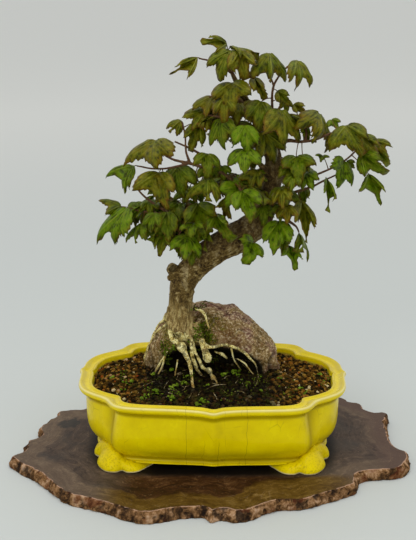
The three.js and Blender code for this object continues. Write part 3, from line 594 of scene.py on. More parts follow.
def crazed_glaze():
    glaze = Finish(
        "crazed_yellow_glaze", Coat_Weight=0.1, Coat_Roughness=0.08, Specular_IOR_Level=0.45,
        Specular_Tint=(1.0, 0.86, 0.08, 1.0),
    )
    x, z, wall, inside = glaze.along("X"), glaze.along("Z"), glaze.mark("wall"), glaze.mark("inside")
    foot = 1 - wall
    mottle, pits = glaze.lumps(24, 5, 0.6), glaze.lumps(2.2, 3, 0.6)
    clay = glaze.ramp(glaze.lumps(6, 5, 0.6), (0.3, 96, 88, 58), (0.7, 138, 128, 88))
    # Darker glaze in the cove under the lip and in the groove over the base moulding: pooled glaze, with
    # painted shade in these recesses
    pooled_glaze_and_shade = glaze.step(abs(z - 25.5), 4.5, 0.5) * 0.62 * wall + glaze.step(abs(z - 81), 5.0, 1.0) * 0.62
    # The grooves between the lobes, darker below the lip: pooled glaze and painted shade
    groove = 0.6 * glaze.mark("groove") * glaze.step(z, 88.0, 82.0)
    upwards = glaze.scaled(glaze.place, (0.05, 0.05, 1.0))
    cracks = crack(glaze, x, upwards, -27.5, 5, 0.3) + crack(glaze, x, upwards, 36.0, 9, 0.3)
    low_cracks = crack(glaze, x, upwards, 6.5, 6, 0.3) + crack(glaze, x, upwards, -9.0, 12, 0.2)
    cracks = cracks + glaze.step(z, 58.0, 50.0) * low_cracks
    crazing = glaze.step(glaze.web(17, (1.0, 1.0, 0.45)), 0.016, 0.003) * glaze.spots(30, 0.5, 0.66, 3)
    lines = 0.62 * cracks * glaze.step(glaze.along("Y"), -60.0, -80.0) + 0.3 * crazing
    yellow = glaze.painted(
        glaze.ramp(mottle, (0.3, 228, 202, 0), (0.5, 240, 215, 0), (0.72, 248, 227, 0)),
        # Pooled glaze and painted shade in the cove, the base groove and the grooves between the lobes
        (pooled_glaze_and_shade + groove * (1 - pooled_glaze_and_shade), (146, 118, 0)),
        # Painted shade on the lower wall, where it curves in above the base moulding
        (0.15 * glaze.step(z, 50.0, 28.0) * glaze.step(z, 18.0, 24.0), (170, 140, 0)),
        # Duller glaze on the lip's top: the glaze is thinner there, and a painted reflection of the pale sky
        # greys it
        (0.6 * glaze.step(z, 87.5, 91.0), (196, 174, 58)),
        # A painted highlight along the lip's outer edge
        (0.7 * glaze.mark("shoulder"), (246, 238, 176)),
        (lines, (122, 96, 10)),
        (0.5 * glaze.spots(1.3, 0.72, 0.78, 2), (120, 92, 20)),
        (0.35 * foot * glaze.step(pits, 0.5, 0.36), (150, 122, 0)),
        (glaze.step(z, 14.2, 13.2), (226, 208, 150)),
        (inside, clay),
    )
    gloss = 0.2 + 0.12 * mottle + 0.25 * foot + 0.5 * inside + 0.7 * groove
    return glaze.dress(yellow, gloss, mottle * 0.4 + pits * foot * 0.5 - lines * 0.2, 0.5)


pot = make_pot()
pot.data.materials.clear()
pot.data.materials.append(crazed_glaze())
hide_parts("pot")
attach(pot, "root")

# The drain screens
# Two squares of black plastic mesh, laid over the drain holes so that the soil stays in the pot.


def moulded_plastic():
    plastic = Finish("moulded_plastic", Specular_IOR_Level=0.4)
    grime = plastic.lumps(4, 4, 0.6)
    shade = plastic.ramp(grime, (0.4, 26, 28, 26), (0.7, 58, 54, 44))
    return plastic.dress(shade, 0.45 + 0.3 * grime, plastic.lumps(0.8, 3), 0.08)


screen_plastic = moulded_plastic()
for side in ("left", "right"):
    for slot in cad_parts[f"drain_screen_{side}"].material_slots:
        slot.material = screen_plastic

# The stone
# A mauve-brown boulder with a pitted, speckled skin, which stands on its back and its two ends over a
# hollow. The tree's roots hold it from both sides, and moss grows on it beside the trunk.

# Each station is x, the top's height, and the front and back of the section
STONE_STATIONS = [
    (-79, 92, 30, 46), (-74, 109, 23, 54), (-65, 128, 16, 62), (-53, 142, 10, 67), (-38, 153, 6, 70),
    (-18, 160, 2, 72), (-6, 161, 0, 72), (5, 158.5, -1, 73), (14, 157.5, -2, 72), (24, 158, -3, 72),
    (38, 147, -3, 70), (54, 134, 0, 67), (66, 122, 6, 62), (75, 107, 15, 56), (80, 90, 28, 47),
]
STONE_BOTTOM_Z = 68
STONE_SIDES, STONE_STEPS, STONE_BULGE = 64, 5, (0.9, 0.8)
STONE_HOLLOW_MIDDLE, STONE_HOLLOW_SIZE = (-4, -6, 92), (60, 44, 31)
HOLLOW_RINGS, HOLLOW_SIDES = 20, 40
STONE_CELL = 1.35
STONE_FACETS, FACET_DEPTH, LOWEST_FACET_Z = 34, 3.4, 76
GROOVES_BACK_TO_Y = 34

# Each groove is its places as the front shows them, its width and its depth
STONE_GROOVES = [
    ([(73, 130), (71, 119), (67, 110), (65, 100), (65, 88)], 1.8, 3.2),
    ([(57, 148), (54, 138), (51, 124), (53, 112)], 2.4, 1.1),
    ([(-73, 128), (-70.5, 119), (-68, 110), (-67, 100), (-67, 88)], 1.6, 2.6),
]
EYE = np.array(VIEW_POINT)


def seen_from_front(points):
    """Where the camera's lines of sight to the points cross the upright plane through the middle."""
    reach = -EYE[1] / (points[:, 1] - EYE[1])
    return (EYE + (points - EYE) * reach[:, None])[:, [0, 2]]


def from_line(flat, line):
    """The distance of each flat point from a smooth line through places."""
    knots = eased(line, 12)
    return np.min([np.linalg.norm(flat - knot, axis=1) for knot in knots], 0)


def vectors_of(data, key):
    """One vector for each item of a mesh's data."""
    numbers = np.empty(3 * len(data), np.float32)
    data.foreach_get(key, numbers)
    return numbers.reshape(-1, 3).astype(float)


def places_of(piece):
    return vectors_of(piece.data.vertices, "co") * METRE


def normals_of(piece):
    return vectors_of(piece.data.vertex_normals, "vector")


def move_to(piece, points):
    piece.data.vertices.foreach_set("co", (points / METRE).astype(np.float32).ravel())
    piece.data.update()


def remeshed(piece, cell):
    """The piece as one even skin of cells this size, with everything inside it gone."""
    skin = piece.modifiers.new("skin", "REMESH")
    skin.mode = "VOXEL"
    skin.voxel_size = cell / METRE
    skin.use_smooth_shade = True
    return settled(piece)


def stone_ring(station):
    x, top, front, back = station
    sides = zip(circle(STONE_SIDES).T, STONE_BULGE)
    across, up = (np.sign(side) * np.abs(side) ** bulge for side, bulge in sides)
    y = (front + back) / 2 + across * (back - front) / 2
    z = (top + STONE_BOTTOM_Z) / 2 + up * (top - STONE_BOTTOM_Z) / 2
    return np.column_stack([np.full(STONE_SIDES, x), y, z])


def make_hollow():
    """A long ball, to be cut out from under the boulder."""
    rings = []
    for turn in np.linspace(0, math.pi, HOLLOW_RINGS)[1:-1]:
        ball = at_height(math.sin(turn) * circle(HOLLOW_SIDES), -math.cos(turn))
        rings.append(STONE_HOLLOW_MIDDLE + STONE_HOLLOW_SIZE * ball)
    return make_piece("hollow", *closed_skin(rings))


def make_stone():
    rings = [stone_ring(station) for station in eased(STONE_STATIONS, STONE_STEPS)]
    boulder = joined(make_piece("stone", *closed_skin(rings)), [make_hollow()], "DIFFERENCE")
    remeshed(boulder, STONE_CELL)
    points, normals = places_of(boulder), normals_of(boulder)
    dice = np.random.default_rng(17)
    for _ in range(STONE_FACETS):
        facing = dice.normal(size=3) * (1.2, 0.9, 0.8)
        facing /= np.linalg.norm(facing)
        reach = points @ facing
        proud = np.maximum(reach - reach.max() + FACET_DEPTH * dice.uniform(0.6, 1.6), 0)
        points = points - proud[:, None] * facing * (points[:, 2] > LOWEST_FACET_Z)[:, None]
    lumps, knobs, pits = rough(points, 34, 2, 11), rough(points, 11, 3, 12), rough(points, 3.2, 3, 13)
    cracks = np.exp(-((rough(points, 30, 3, 14) / 0.035) ** 2))
    out = 2.0 * lumps + 1.2 * knobs + 0.55 * pits - 0.9 * cracks
    flat = seen_from_front(points)
    for line, width, depth in STONE_GROOVES:
        groove = np.exp(-((from_line(flat, line) / width) ** 2))
        groove = groove * (points[:, 1] < GROOVES_BACK_TO_Y) * np.clip(1 - normals[:, 1], 0, 1)
        out -= depth * groove
        # The grooves are also painted dark through the crack mark, as painted shade in them
        cracks = np.maximum(cracks, groove * min(depth / 3, 1))
    move_to(boulder, points + normals * out[:, None])
    # The under mark covers the skin in and round the hollow, which the stone's finish paints dark: dark
    # earth, with painted shade
    from_hollow = np.linalg.norm((points - STONE_HOLLOW_MIDDLE) / STONE_HOLLOW_SIZE, axis=1)
    under = np.clip((1.1 - from_hollow + 0.05 * knobs) / 0.07, 0, 1)
    add_marks(boulder, crack=cracks, under=under)
    return boulder


def speckled_stone():
    stone = Finish("speckled_stone", Specular_IOR_Level=0.12)
    x, z = stone.along("X"), stone.along("Z")
    grit, ragged = stone.lumps(2.6, 4, 0.75), stone.lumps(9, 4, 0.6) - 0.5
    mauve = stone.ramp(
        stone.lumps(30, 3, 0.5, 0.4) + 0.25 * (stone.lumps(7, 3) - 0.5),
        (0.34, 134, 108, 60), (0.46, 162, 134, 88), (0.56, 136, 98, 82), (0.68, 176, 148, 108),
    )
    green = stone.ramp(stone.lumps(1.7, 4, 0.7), (0.38, 26, 24, 2), (0.5, 84, 78, 8), (0.64, 150, 136, 34))
    earth_and_shade = stone.ramp(stone.lumps(3, 4, 0.7), (0.42, 12, 9, 4), (0.66, 36, 31, 12))
    red_side = stone.step(x + 60 * ragged, 4.0, 16.0) * stone.step(x + 60 * ragged, 34.0, 22.0)
    red_side = red_side * stone.step(z + 50 * ragged, 150.0, 132.0)
    by_trunk = stone.step(x + 70 * ragged, 12.0, -4.0) * stone.step(x, -66.0, -50.0)
    by_trunk = by_trunk * stone.step(z + 40 * ragged, 158.0, 144.0)
    shade = stone.painted(
        mauve,
        (0.9 * stone.step(grit, 0.53, 0.62), (224, 206, 166)),
        (0.9 * stone.step(grit, 0.47, 0.38), (70, 48, 28)),
        (0.35 * stone.step(z + 26 * (stone.lumps(14, 3) - 0.5), 112.0, 92.0), (104, 82, 40)),
        (0.35 * stone.spots(13, 0.6, 0.7, 3), (112, 62, 44)),
        # Dark cracks, and painted shade in the grooves
        (0.7 * stone.mark("crack"), (36, 28, 16)),
        (0.55 * red_side, (98, 56, 34)),
        (0.85 * by_trunk * stone.spots(3.5, 0.38, 0.5, 4, 0.7), green),
        # Painted shade, with dark earth, in and round the hollow under the boulder
        (stone.mark("under"), earth_and_shade),
    )
    return stone.dress(shade, 0.72 + 0.2 * grit, grit * 0.7 + stone.lumps(0.7, 2) * 0.3, 0.5)


boulder = make_stone()
boulder.data.materials.clear()
boulder.data.materials.append(speckled_stone())
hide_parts("stone")
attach(boulder, "root")

# The tree
# One living trunk with its branches and its roots. The bark is thin, grey-brown and lightly ridged, the
# bared roots are knobby and cream, and the thin twigs are reddish brown.

# Each place on a limb is x and z where the front shows it, its depth y, and the limb's radius
TRUNK = [
    (-30, 130, -3, 5), (-32, 139, -4, 9.5), (-34.5, 152, -2, 13.8), (-35, 178, 0, 13.2),
    (-31, 201, 0, 14.4), (-16, 221, 0, 15), (4, 237, -1, 15.8), (28, 251, -2, 16.6), (49, 268, -2, 14),
    (60, 296, 0, 10.4), (65, 324, 2, 9.6), (62, 345, 4, 8.6), (45, 377, 8, 5.2), (33, 400, 10, 3.6),
    (20, 425, 10, 2.1), (14, 444, 8, 0.8),
]
PRUNED_STUB = [(-31, 200, 0, 9), (-39, 209, -3, 7.6), (-44.5, 214.5, -5, 6.6), (-47, 216.5, -6, 5.6)]
STUB_HOLLOW = (-44.5, 215, -12.5, 5.2)
STUB_NUB = [(-44, 205, -3, 5), (-49, 203, -5, 2.6)]

ROOTS = [
    # The thick one with the bulb, the two beside it, and the stub
    [(-43, 152, -6, 6), (-46.8, 139, -12, 2.6), (-44.6, 133.2, -15, 2.8), (-39.6, 128.5, -16, 3.8),
     (-34.6, 123.7, -17, 5), (-31.3, 117.1, -18, 3.2), (-28.5, 109.9, -19, 2.5), (-25.8, 103.9, -20, 2.2),
     (-24.1, 95.5, -22, 1.9), (-23.1, 83.3, -27, 1.6), (-21.4, 71, -38, 1.4), (-20.4, 64, -42, 1)],
    [(-27, 148, -5, 6), (-24, 134, -12, 2.5), (-23.4, 124.3, -14, 2.1), (-23.2, 117.1, -15, 2),
     (-22.1, 109.9, -15, 2.1), (-19.6, 102.7, -14, 2.3), (-16.8, 95.5, -10, 1.7), (-13.4, 91.2, -4, 1.3),
     (-10.1, 87.6, 1, 0.9), (-7, 84, 6, 0.6)],
    [(-24, 134, -6, 3), (-21.7, 126.7, -9, 1.8), (-19.5, 117.7, -12, 1.5), (-17, 112.4, -13, 1.7),
     (-14.3, 106.4, -14, 1.8), (-11.2, 99.1, -14, 2), (-7.2, 96.1, -13, 2.1), (-4.1, 94.9, -12, 3.3),
     (-1.6, 90.1, -12, 1.5), (1.2, 85.8, -13, 3.2), (4.6, 80.3, -18, 1.3), (7.4, 74.8, -28, 1),
     (9, 70, -36, 0.7)],
    [(-22, 150, -3, 8), (-15, 136, -8, 4.6), (-11.8, 129, -12, 3), (-10.6, 124, -13, 3),
     (-8.9, 119.6, -14, 3.7), (-6.6, 113.6, -15, 4.7), (-5.2, 109.6, -15, 4.8), (-5, 105.6, -15, 3.2)],
    # To the right over the hollow, with the thin ones that hang there
    [(-20, 138, -2, 6), (-11, 128.4, -6, 2.7), (-5, 123.6, -9, 2), (1.7, 123.2, -10, 1.7),
     (7.8, 124.9, -10, 1.7), (15.1, 125.6, -9.5, 1.8), (22.9, 123.5, -9, 1.7), (30.8, 120.1, -8.5, 1.6),
     (36.4, 116.1, -7, 1.5), (42.1, 109.5, -7, 1.2), (46.6, 105, -2, 1), (50, 98, 6, 0.6)],
    [(-28, 173, -2, 4.5), (-21, 168.6, 1, 2), (-14.9, 167.2, 2, 1.6), (-10.5, 164.2, 2, 1.5),
     (-8, 159.8, 1, 1.4), (-6.2, 153, -1, 1.1), (-4, 145, -3, 0.8)],
    [(2, 118, 6, 0.9), (6.2, 116.4, 2, 1.3), (9.5, 115.1, 0, 1.9), (12.9, 113, 0, 1.8), (16, 109.6, 3, 0.8)],
    [(21, 122, -8, 1), (22, 117, -8, 0.9), (22.8, 112.4, -8, 0.8), (24.7, 107, -5, 0.8),
     (27.6, 102.2, 2, 0.7), (31, 96.8, 12, 0.7), (34, 93, 20, 0.6)],
    [(28, 109, 6, 0.7), (32, 106.4, 4, 0.8), (36.5, 103.4, 2, 1), (39.9, 98.6, 2, 0.8),
     (43.9, 93.2, 2, 0.7), (48.5, 87.7, 0, 0.6), (50.9, 81.7, -11, 0.5), (48.7, 74.9, -27, 0.5)],
    # The fold at the trunk's foot on the left, and the thin ones under it
    [(-46, 170, -6, 4), (-48, 160, -8, 3.6), (-47, 151.5, -11, 3.5), (-43, 145.4, -14.5, 3.5),
     (-38, 141.4, -16.5, 3.2), (-34.2, 138.2, -17.5, 2.9), (-32.6, 133, -17, 2.1)],
    [(-50, 118, 8, 0.9), (-54.3, 111.1, 6, 1), (-57.2, 106.3, 7, 1.2), (-60.1, 100.8, 8, 1.4),
     (-62.9, 96, 8, 1.2), (-65.5, 91, 8, 0.6)],
    [(-53, 112, 4, 1.1), (-54.4, 107.5, 2, 1.1), (-56.7, 99, 2, 1), (-60.2, 91.7, 1, 0.9),
     (-63.5, 85, -2, 0.6)],
    [(-39, 108, 2, 0.9), (-40.1, 100.3, 0, 0.9), (-41.6, 93, -2, 0.8), (-43.2, 82, -7, 0.6)],
]

# Roots over the stone's back, which the front doesn't show: x, y, z and radius as they lie
BACK_ROOTS = [
    [(-33, 6, 150, 7), (-32, 26, 150, 4.4), (-28, 48, 149, 4.2), (-16, 67, 140, 4), (-1, 75, 120, 3.4),
     (6, 78, 96, 2.9), (8, 79, 74, 2.2)],
    [(-38, 10, 148, 7), (-44, 28, 148, 4.2), (-52, 50, 141, 4), (-60, 68, 122, 3.6), (-63, 73, 98, 3),
     (-64, 74, 74, 2.2)],
    [(-20, 63, 144, 3.8), (6, 73, 134, 3.2), (28, 75, 120, 2.8), (45, 72, 100, 2.3), (49, 71, 74, 1.8)],
    # The thinner ones that fork from these
    [(-4, 74, 124, 2.6), (-8, 78, 112, 2), (-16, 80, 96, 1.7), (-19, 81, 74, 1.4)],
    [(-58, 64, 127, 2.6), (-46, 72, 112, 2.1), (-39, 77, 96, 1.7), (-37, 78, 74, 1.4)],
    [(22, 74, 125, 2.4), (22, 76, 112, 1.8), (27, 78, 96, 1.6), (26, 79, 74, 1.3)],
    [(6, 73, 134, 2.4), (34, 68, 128, 1.8), (60, 58, 114, 1.6), (76, 50, 96, 1.5), (82, 48, 74, 1.2)],
    [(-46, 30, 147, 2.4), (-64, 46, 132, 1.9), (-78, 52, 112, 1.7), (-84, 54, 74, 1.3)],
    [(-42, 24, 145, 2), (-56, 29, 137, 1.5), (-67, 29, 124, 1.4), (-75, 30, 110, 1.4), (-83, 32, 94, 1.3),
     (-89, 34, 80, 0.8)],
]

BRANCHES = [
    # Right: the long upper branch, its side stem, and the two lower ones
    [(61, 326, 2, 7), (67, 348, -2, 3.8), (78, 355, -6, 2.3), (92, 354, -8, 1.7), (107, 356, -9, 1.5),
     (122, 362, -8, 1.3), (140, 367, -6, 1.2), (156, 362, -4, 1), (167, 357, -2, 0.8)],
    [(97, 354, -8, 1.5), (98, 365, -7, 1.1), (92, 377, -5, 0.8)],
    [(60, 290, 0, 6), (74, 294, -6, 2.6), (88, 300, -8, 1.8), (106, 306, -8, 1.3), (121, 314, -6, 1),
     (134, 320, -6, 0.8)],
    [(74, 294, -6, 2.2), (86, 306, -12, 1.7), (99, 314, -11, 1.4), (113, 320, -9, 1.2),
     (128, 327, -8, 1.1), (142, 336, -6, 1), (153, 347, -5, 0.9)],
    [(60, 284, -2, 5), (72, 276, -8, 2.4), (82, 268, -10, 1.7), (90, 262, -8, 1.2), (93, 256, -5, 0.9)],
    [(72, 276, -8, 1.7), (74, 262, -14, 1.2), (78, 248, -10, 0.9)],
    # Left: the long branch with its two rising stems, and the low one
    [(51, 276, 0, 7), (40, 293, -4, 4.2), (28, 306, -8, 3.2), (12, 319, -12, 2.5), (-6, 325, -13, 2),
     (-25, 331, -13, 1.6), (-42, 335, -12, 1.3), (-56, 343, -11, 0.9)],
    [(-24, 331, -13, 1.5), (-28, 343, -11, 1.2), (-29, 360, -8, 1), (-32, 374, -4, 0.8)],
    [(-25, 331, -13, 1.4), (-45, 326, -16, 1.1), (-62, 325, -12, 1), (-80, 328, -5, 0.8)],
    [(18, 248, 0, 7), (8, 262, -4, 3.6), (-8, 270, -9, 2.6), (-26, 272, -12, 2.1), (-44, 276, -13, 1.7),
     (-60, 285, -13, 1.4), (-74, 296, -11, 1.1), (-82, 306, -8, 0.9)],
    [(-44, 276, -13, 1.4), (-62, 277, -14, 1.1), (-84, 280, -12, 0.9)],
    [(-22, 271, -12, 1.5), (-31, 262, -18, 1.2), (-38, 250, -18, 0.9)],
    [(-16, 222, 0, 6), (-20, 238, -8, 2), (-22, 252, -16, 1.1)],
    # Crown: the front stems and the two that rise to the top
    [(60, 340, 3, 5), (64, 362, 2, 2.6), (62, 386, 0, 1.7), (63, 412, -1, 1.2), (74, 429, -1, 1),
     (84, 437, 0, 0.8)],
    [(63, 412, -1, 1.1), (58, 428, 0, 0.9), (57, 444, 1, 0.8)],
    [(40, 386, 8, 3), (26, 398, 0, 2), (12, 402, -8, 1.4), (-4, 401, -8, 0.9)],
    [(20, 425, 10, 1.6), (2, 436, 5, 1.1), (-14, 440, 1, 0.8)],
    [(58, 346, 4, 5), (42, 360, -8, 2.5), (24, 372, -14, 1.8), (6, 380, -14, 1.3), (-8, 382, -10, 0.9)],
    [(61, 318, 0, 6), (50, 330, -16, 2.6), (40, 340, -28, 1.8), (34, 350, -34, 1.2)],
    [(52, 278, -4, 6), (44, 290, -20, 2.6), (34, 298, -32, 1.8), (28, 304, -34, 1.2)],
    [(62, 330, 2, 5), (66, 356, -8, 2.2), (70, 374, -12, 1.4), (71, 386, -12, 0.9)],
    # Rear: stems that fill the back of the crown
    [(55, 284, 4, 6), (48, 298, 22, 3), (36, 310, 40, 2), (18, 314, 56, 1.3)],
    [(62, 306, 6, 5), (74, 318, 24, 2.6), (88, 324, 40, 1.8), (102, 322, 54, 1.1)],
    [(58, 340, 6, 4), (48, 354, 26, 2.4), (34, 362, 42, 1.7), (16, 364, 54, 1.1)],
    [(44, 378, 10, 3.2), (30, 388, 26, 2), (14, 396, 40, 1.2)],
    [(50, 362, 8, 3.6), (64, 380, 24, 2), (74, 398, 34, 1.2)],
    [(8, 262, -4, 3.2), (-10, 276, 14, 2.2), (-32, 286, 26, 1.6), (-54, 294, 32, 1.1)],
    [(60, 292, 4, 4), (72, 288, 22, 2.4), (86, 284, 34, 1.5)],
    [(12, 320, -10, 2.6), (-4, 334, 6, 1.8), (-22, 346, 18, 1.3), (-40, 354, 24, 0.9)],
]

LIMB_STEPS = 8
LIMB_SIDES, TWIG_SIDES = 20, 8
TWIG_RADIUS = 1.3
BARK_CELL = 0.95

# The bark turns to bare root below a ragged line, which falls to the right
ROOT_TOP_Z, ROOT_TOP_FALL, ROOT_TOP_RAGGED, ROOT_TOP_BLEND = 130, 0.4, 7, 12
BARE_ROOT_RADIUS, CLEAR_OF_TRUNK_X = 3.3, -20

# A root at the back is drawn onto the stone where it comes this near
BACK_ROOT_SWAY, BACK_ROOT_LIFT, BACK_ROOT_REACH, BACK_ROOT_EASE = 4.5, 0.45, 18, 8


def on_sight(x, z, y):
    """The place at depth y that the camera sees where it sees (x, 0, z)."""
    return EYE + (np.array([x, 0, z]) - EYE) * (y - EYE[1]) / -EYE[1]


def limb_line(places, steps=LIMB_STEPS):
    """Places and radii along the smooth line through a limb's places, with steps between each two."""
    knots = with_ends(places)
    line = []
    for a, b, c, d in zip(knots, knots[1:], knots[2:], knots[3:]):
        ab, bc, cd = (np.linalg.norm((end - start)[:3]) ** 0.5 for start, end in ((a, b), (b, c), (c, d)))
        leave = ((b - a) / ab - (c - a) / (ab + bc) + (c - b) / bc) * bc
        arrive = ((c - b) / bc - (d - b) / (bc + cd) + (d - c) / cd) * bc
        for t in np.linspace(0, 1, steps, endpoint=False):
            line.append(b + leave * t + (3 * (c - b) - 2 * leave - arrive) * t**2
                        + (2 * (b - c) + leave + arrive) * t**3)
    return np.array([*line, knots[-2]])


def seen_limb(places):
    """The smooth line of a limb whose places are given as the front shows them."""
    return limb_line([(*on_sight(x, z, y), radius) for x, z, y, radius in places])


def tube(line, sides):
    """Points and faces of a closed tube along a line of places and radii."""
    ahead = unit(np.gradient(line[:, :3], axis=0))
    cos, sin = circle(sides).T[:, :, None]
    side = np.cross(ahead[0], (0.3, 0.9, 0.2))
    rings = []
    for (*centre, radius), direction in zip(line, ahead):
        side = side - direction * (side @ direction)
        side /= np.linalg.norm(side)
        rings.append(centre + radius * (cos * side + sin * np.cross(direction, side)))
    return closed_skin(rings)


def gathered(parts):
    """The points and faces of several meshes as one."""
    points, faces, first = [], [], 0
    for some, theirs in parts:
        points.append(some)
        faces += [tuple(first + corner for corner in face) for face in theirs]
        first += len(some)
    return np.vstack(points), faces


def skin_of(piece):
    """The piece's surface, to cast rays at."""
    return BVHTree.FromPolygons(
        [vertex.co for vertex in piece.data.vertices], [face.vertices for face in piece.data.polygons],
    )


def laid_on(line, skin):
    """A root's line, swayed a little and laid on the stone where it runs near it."""
    sway = [rough(line[:, :3], 24, 2, seed) for seed in (28, 29, 30)]
    places = line[:, :3] + BACK_ROOT_SWAY * np.column_stack(sway)
    for place, radius in zip(places, line[:, 3]):
        ground, facing, _, gap = skin.find_nearest(Vector(place) / METRE)
        on_stone = np.array(ground) * METRE + BACK_ROOT_LIFT * radius * np.array(facing)
        drawn = np.clip((BACK_ROOT_REACH - gap * METRE) / BACK_ROOT_EASE, 0, 1)
        place += drawn * (on_stone - place)
    for _ in range(3):
        places[1:-1] = (places[:-2] + 2 * places[1:-1] + places[2:]) / 4
    return np.column_stack([places, line[:, 3]])


STONE_SKIN = skin_of(boulder)
BRANCH_LIMBS = [seen_limb(places) for places in BRANCHES]
WOOD_LIMBS = [seen_limb(places) for places in (TRUNK, PRUNED_STUB, STUB_NUB)] + BRANCH_LIMBS
ROOT_LIMBS = [seen_limb(places) for places in ROOTS]
ROOT_LIMBS += [laid_on(limb_line(places), STONE_SKIN) for places in BACK_ROOTS]
LIMBS = WOOD_LIMBS + ROOT_LIMBS


def limb_marks(points):
    """For each point, whether it is on a root, its limb's radius, and its place drawn short along it."""
    places = np.vstack(LIMBS)
    along = np.vstack([unit(np.gradient(line[:, :3], axis=0)) for line in LIMBS])
    near = KDTree(len(places))
    for index, place in enumerate(places):
        near.insert(place[:3], index)
    near.balance()
    found = np.array([near.find(point)[1] for point in points])
    direction = along[found]
    short = points - 0.8 * direction * (points * direction).sum(1)[:, None]
    return 1 * (found >= sum(len(line) for line in WOOD_LIMBS)), places[found, 3], short


def thick_places(line):
    """How many places of a limb are too thick for a twig."""
    return int(np.sum(line[:, 3] > TWIG_RADIUS))


def make_tree():
    solid = [tube(line[: 1 + max(2, thick_places(line))], LIMB_SIDES) for line in LIMBS]
    tree = remeshed(make_piece("tree", *gathered(solid)), BARK_CELL)
    points, normals = places_of(tree), normals_of(tree)
    root, radius, short = limb_marks(points)
    top = ROOT_TOP_Z - ROOT_TOP_FALL * points[:, 0] + ROOT_TOP_RAGGED * rough(points, 14, 2, 27)
    low = np.clip((top - points[:, 2]) / ROOT_TOP_BLEND, 0, 1)
    clear = np.maximum(np.clip((top + 6 - points[:, 2]) / 6, 0, 1), points[:, 0] > CLEAR_OF_TRUNK_X)
    root = np.maximum(np.maximum(root, 0.7) * low, root * (radius < BARE_ROOT_RADIUS) * clear)
    size = np.clip(radius, 1.2, 14)
    ridges, lumps, knobs = rough(short, 3.4, 3, 21), rough(points, 13, 2, 22), rough(points, 5.5, 2, 23)
    out = size * (0.035 * ridges + 0.075 * lumps + 0.05 * knobs) + root * np.minimum(size, 5) * 0.17 * knobs
    points = points + normals * out[:, None]
    *middle, reach = STUB_HOLLOW
    middle = on_sight(*middle)
    from_middle = np.linalg.norm(points - middle, axis=1)
    dented = from_middle < reach
    points[dented] = middle + (points[dented] - middle) * (reach / from_middle[dented])[:, None]
    move_to(tree, points)
    # Painted shade in the dents of the bare roots and inside the pruned stub's hollow
    hollow = np.maximum(np.clip(-2.4 * knobs - 1.2 * ridges, 0, 1) * root, 2 * (from_middle < reach * 1.02))
    add_marks(tree, root=root, thick=radius, grain=short, hollow=hollow)
    return tree


def make_twigs():
    lines = [line for line in LIMBS if line[-1, 3] < TWIG_RADIUS]
    thin = [tube(line[max(0, thick_places(line) - 3):], TWIG_SIDES) for line in lines]
    points, faces = gathered(thin)
    root, radius, short = limb_marks(points)
    points = points + 0.25 * np.column_stack([rough(points, 5, 2, seed) for seed in (24, 25, 26)])
    return make_piece("twigs", points, faces, root=root, thick=radius, grain=short, hollow=0 * radius)


def thin_bark():
    bark = Finish("thin_bark", Specular_IOR_Level=0.15)
    root, thick, z = bark.mark("root"), bark.mark("thick"), bark.along("Z")
    streaks = bark.lumps(3.2, 6, 0.7, place=bark.mark("grain", "Vector"))
    patches = bark.lumps(8, 5, 0.6, place=bark.scaled(bark.place, (1, 1, 0.45)))
    strands = bark.lumps(2.2, 4, 0.65, place=bark.scaled(bark.place, (1, 1, 0.16)))
    fine = bark.lumps(1.3, 4, 0.7)
    foot = bark.step(z, 182.0, 158.0)
    brown = bark.painted(
        bark.ramp(
            0.72 * streaks + 0.28 * patches,
            (0.38, 34, 23, 6), (0.46, 84, 64, 28), (0.53, 122, 100, 52), (0.61, 178, 158, 108),
        ),
        (0.3 * bark.step(patches, 0.53, 0.62) * bark.step(fine, 0.42, 0.56), (178, 166, 132)),
        (0.3 * bark.step(z, 190.0, 150.0), (204, 172, 104)),
        (0.6 * foot * bark.step(strands, 0.5, 0.6), (222, 202, 136)),
        (0.6 * foot * bark.step(strands, 0.47, 0.38), (66, 46, 18)),
        (0.4 * bark.step(z, 215.0, 262.0), (48, 34, 18)),
    )
    cream = bark.painted(
        bark.ramp(
            0.5 * fine + 0.5 * bark.lumps(5, 4, 0.6),
            (0.36, 108, 82, 26), (0.44, 190, 164, 82), (0.5, 236, 220, 142), (0.58, 255, 246, 184),
        ),
        (0.75 * bark.step(z + 12 * (patches - 0.5), 104.0, 88.0), (122, 80, 16)),
    )
    twig = bark.ramp(streaks, (0.35, 70, 44, 30), (0.65, 122, 90, 62))
    shade = bark.painted(
        brown,
        (bark.step(root + 0.5 * (streaks - 0.5), 0.35, 0.85), cream),
        (bark.step(thick, 3.4, 1.2) * (1 - root), twig),
        (0.75 * bark.step(fine, 0.43, 0.33), (44, 30, 14)),
        # Painted shade in the dents of the roots and in the stub's hollow
        (0.65 * bark.step(bark.mark("hollow"), 0.15, 0.7), (44, 36, 14)),
    )
    return bark.dress(shade, 0.68 + 0.2 * fine, streaks * 0.6 + fine * 0.4, 0.7)


bark_finish = thin_bark()
tree = make_tree()
twigs = make_twigs()
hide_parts("tree")
for piece in (tree, twigs):
    piece.data.materials.clear()
    piece.data.materials.append(bark_finish)
    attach(piece, "root")

# The soil
# A free-draining mix of fired-clay and pumice grains, brown to rust and tan, with a few pale ones. It
# fills the pot to below the lip and rises towards the stone, where it is wet and mossy, and dark with painted
# shade under and round the stone.

SOIL_CLEARANCE = 0.6
SOIL_FLOOR_Z, SOIL_EDGE_Z = POT_RIM_Z - 60.7, POT_RIM_Z - POT_INSIDE[1][1]

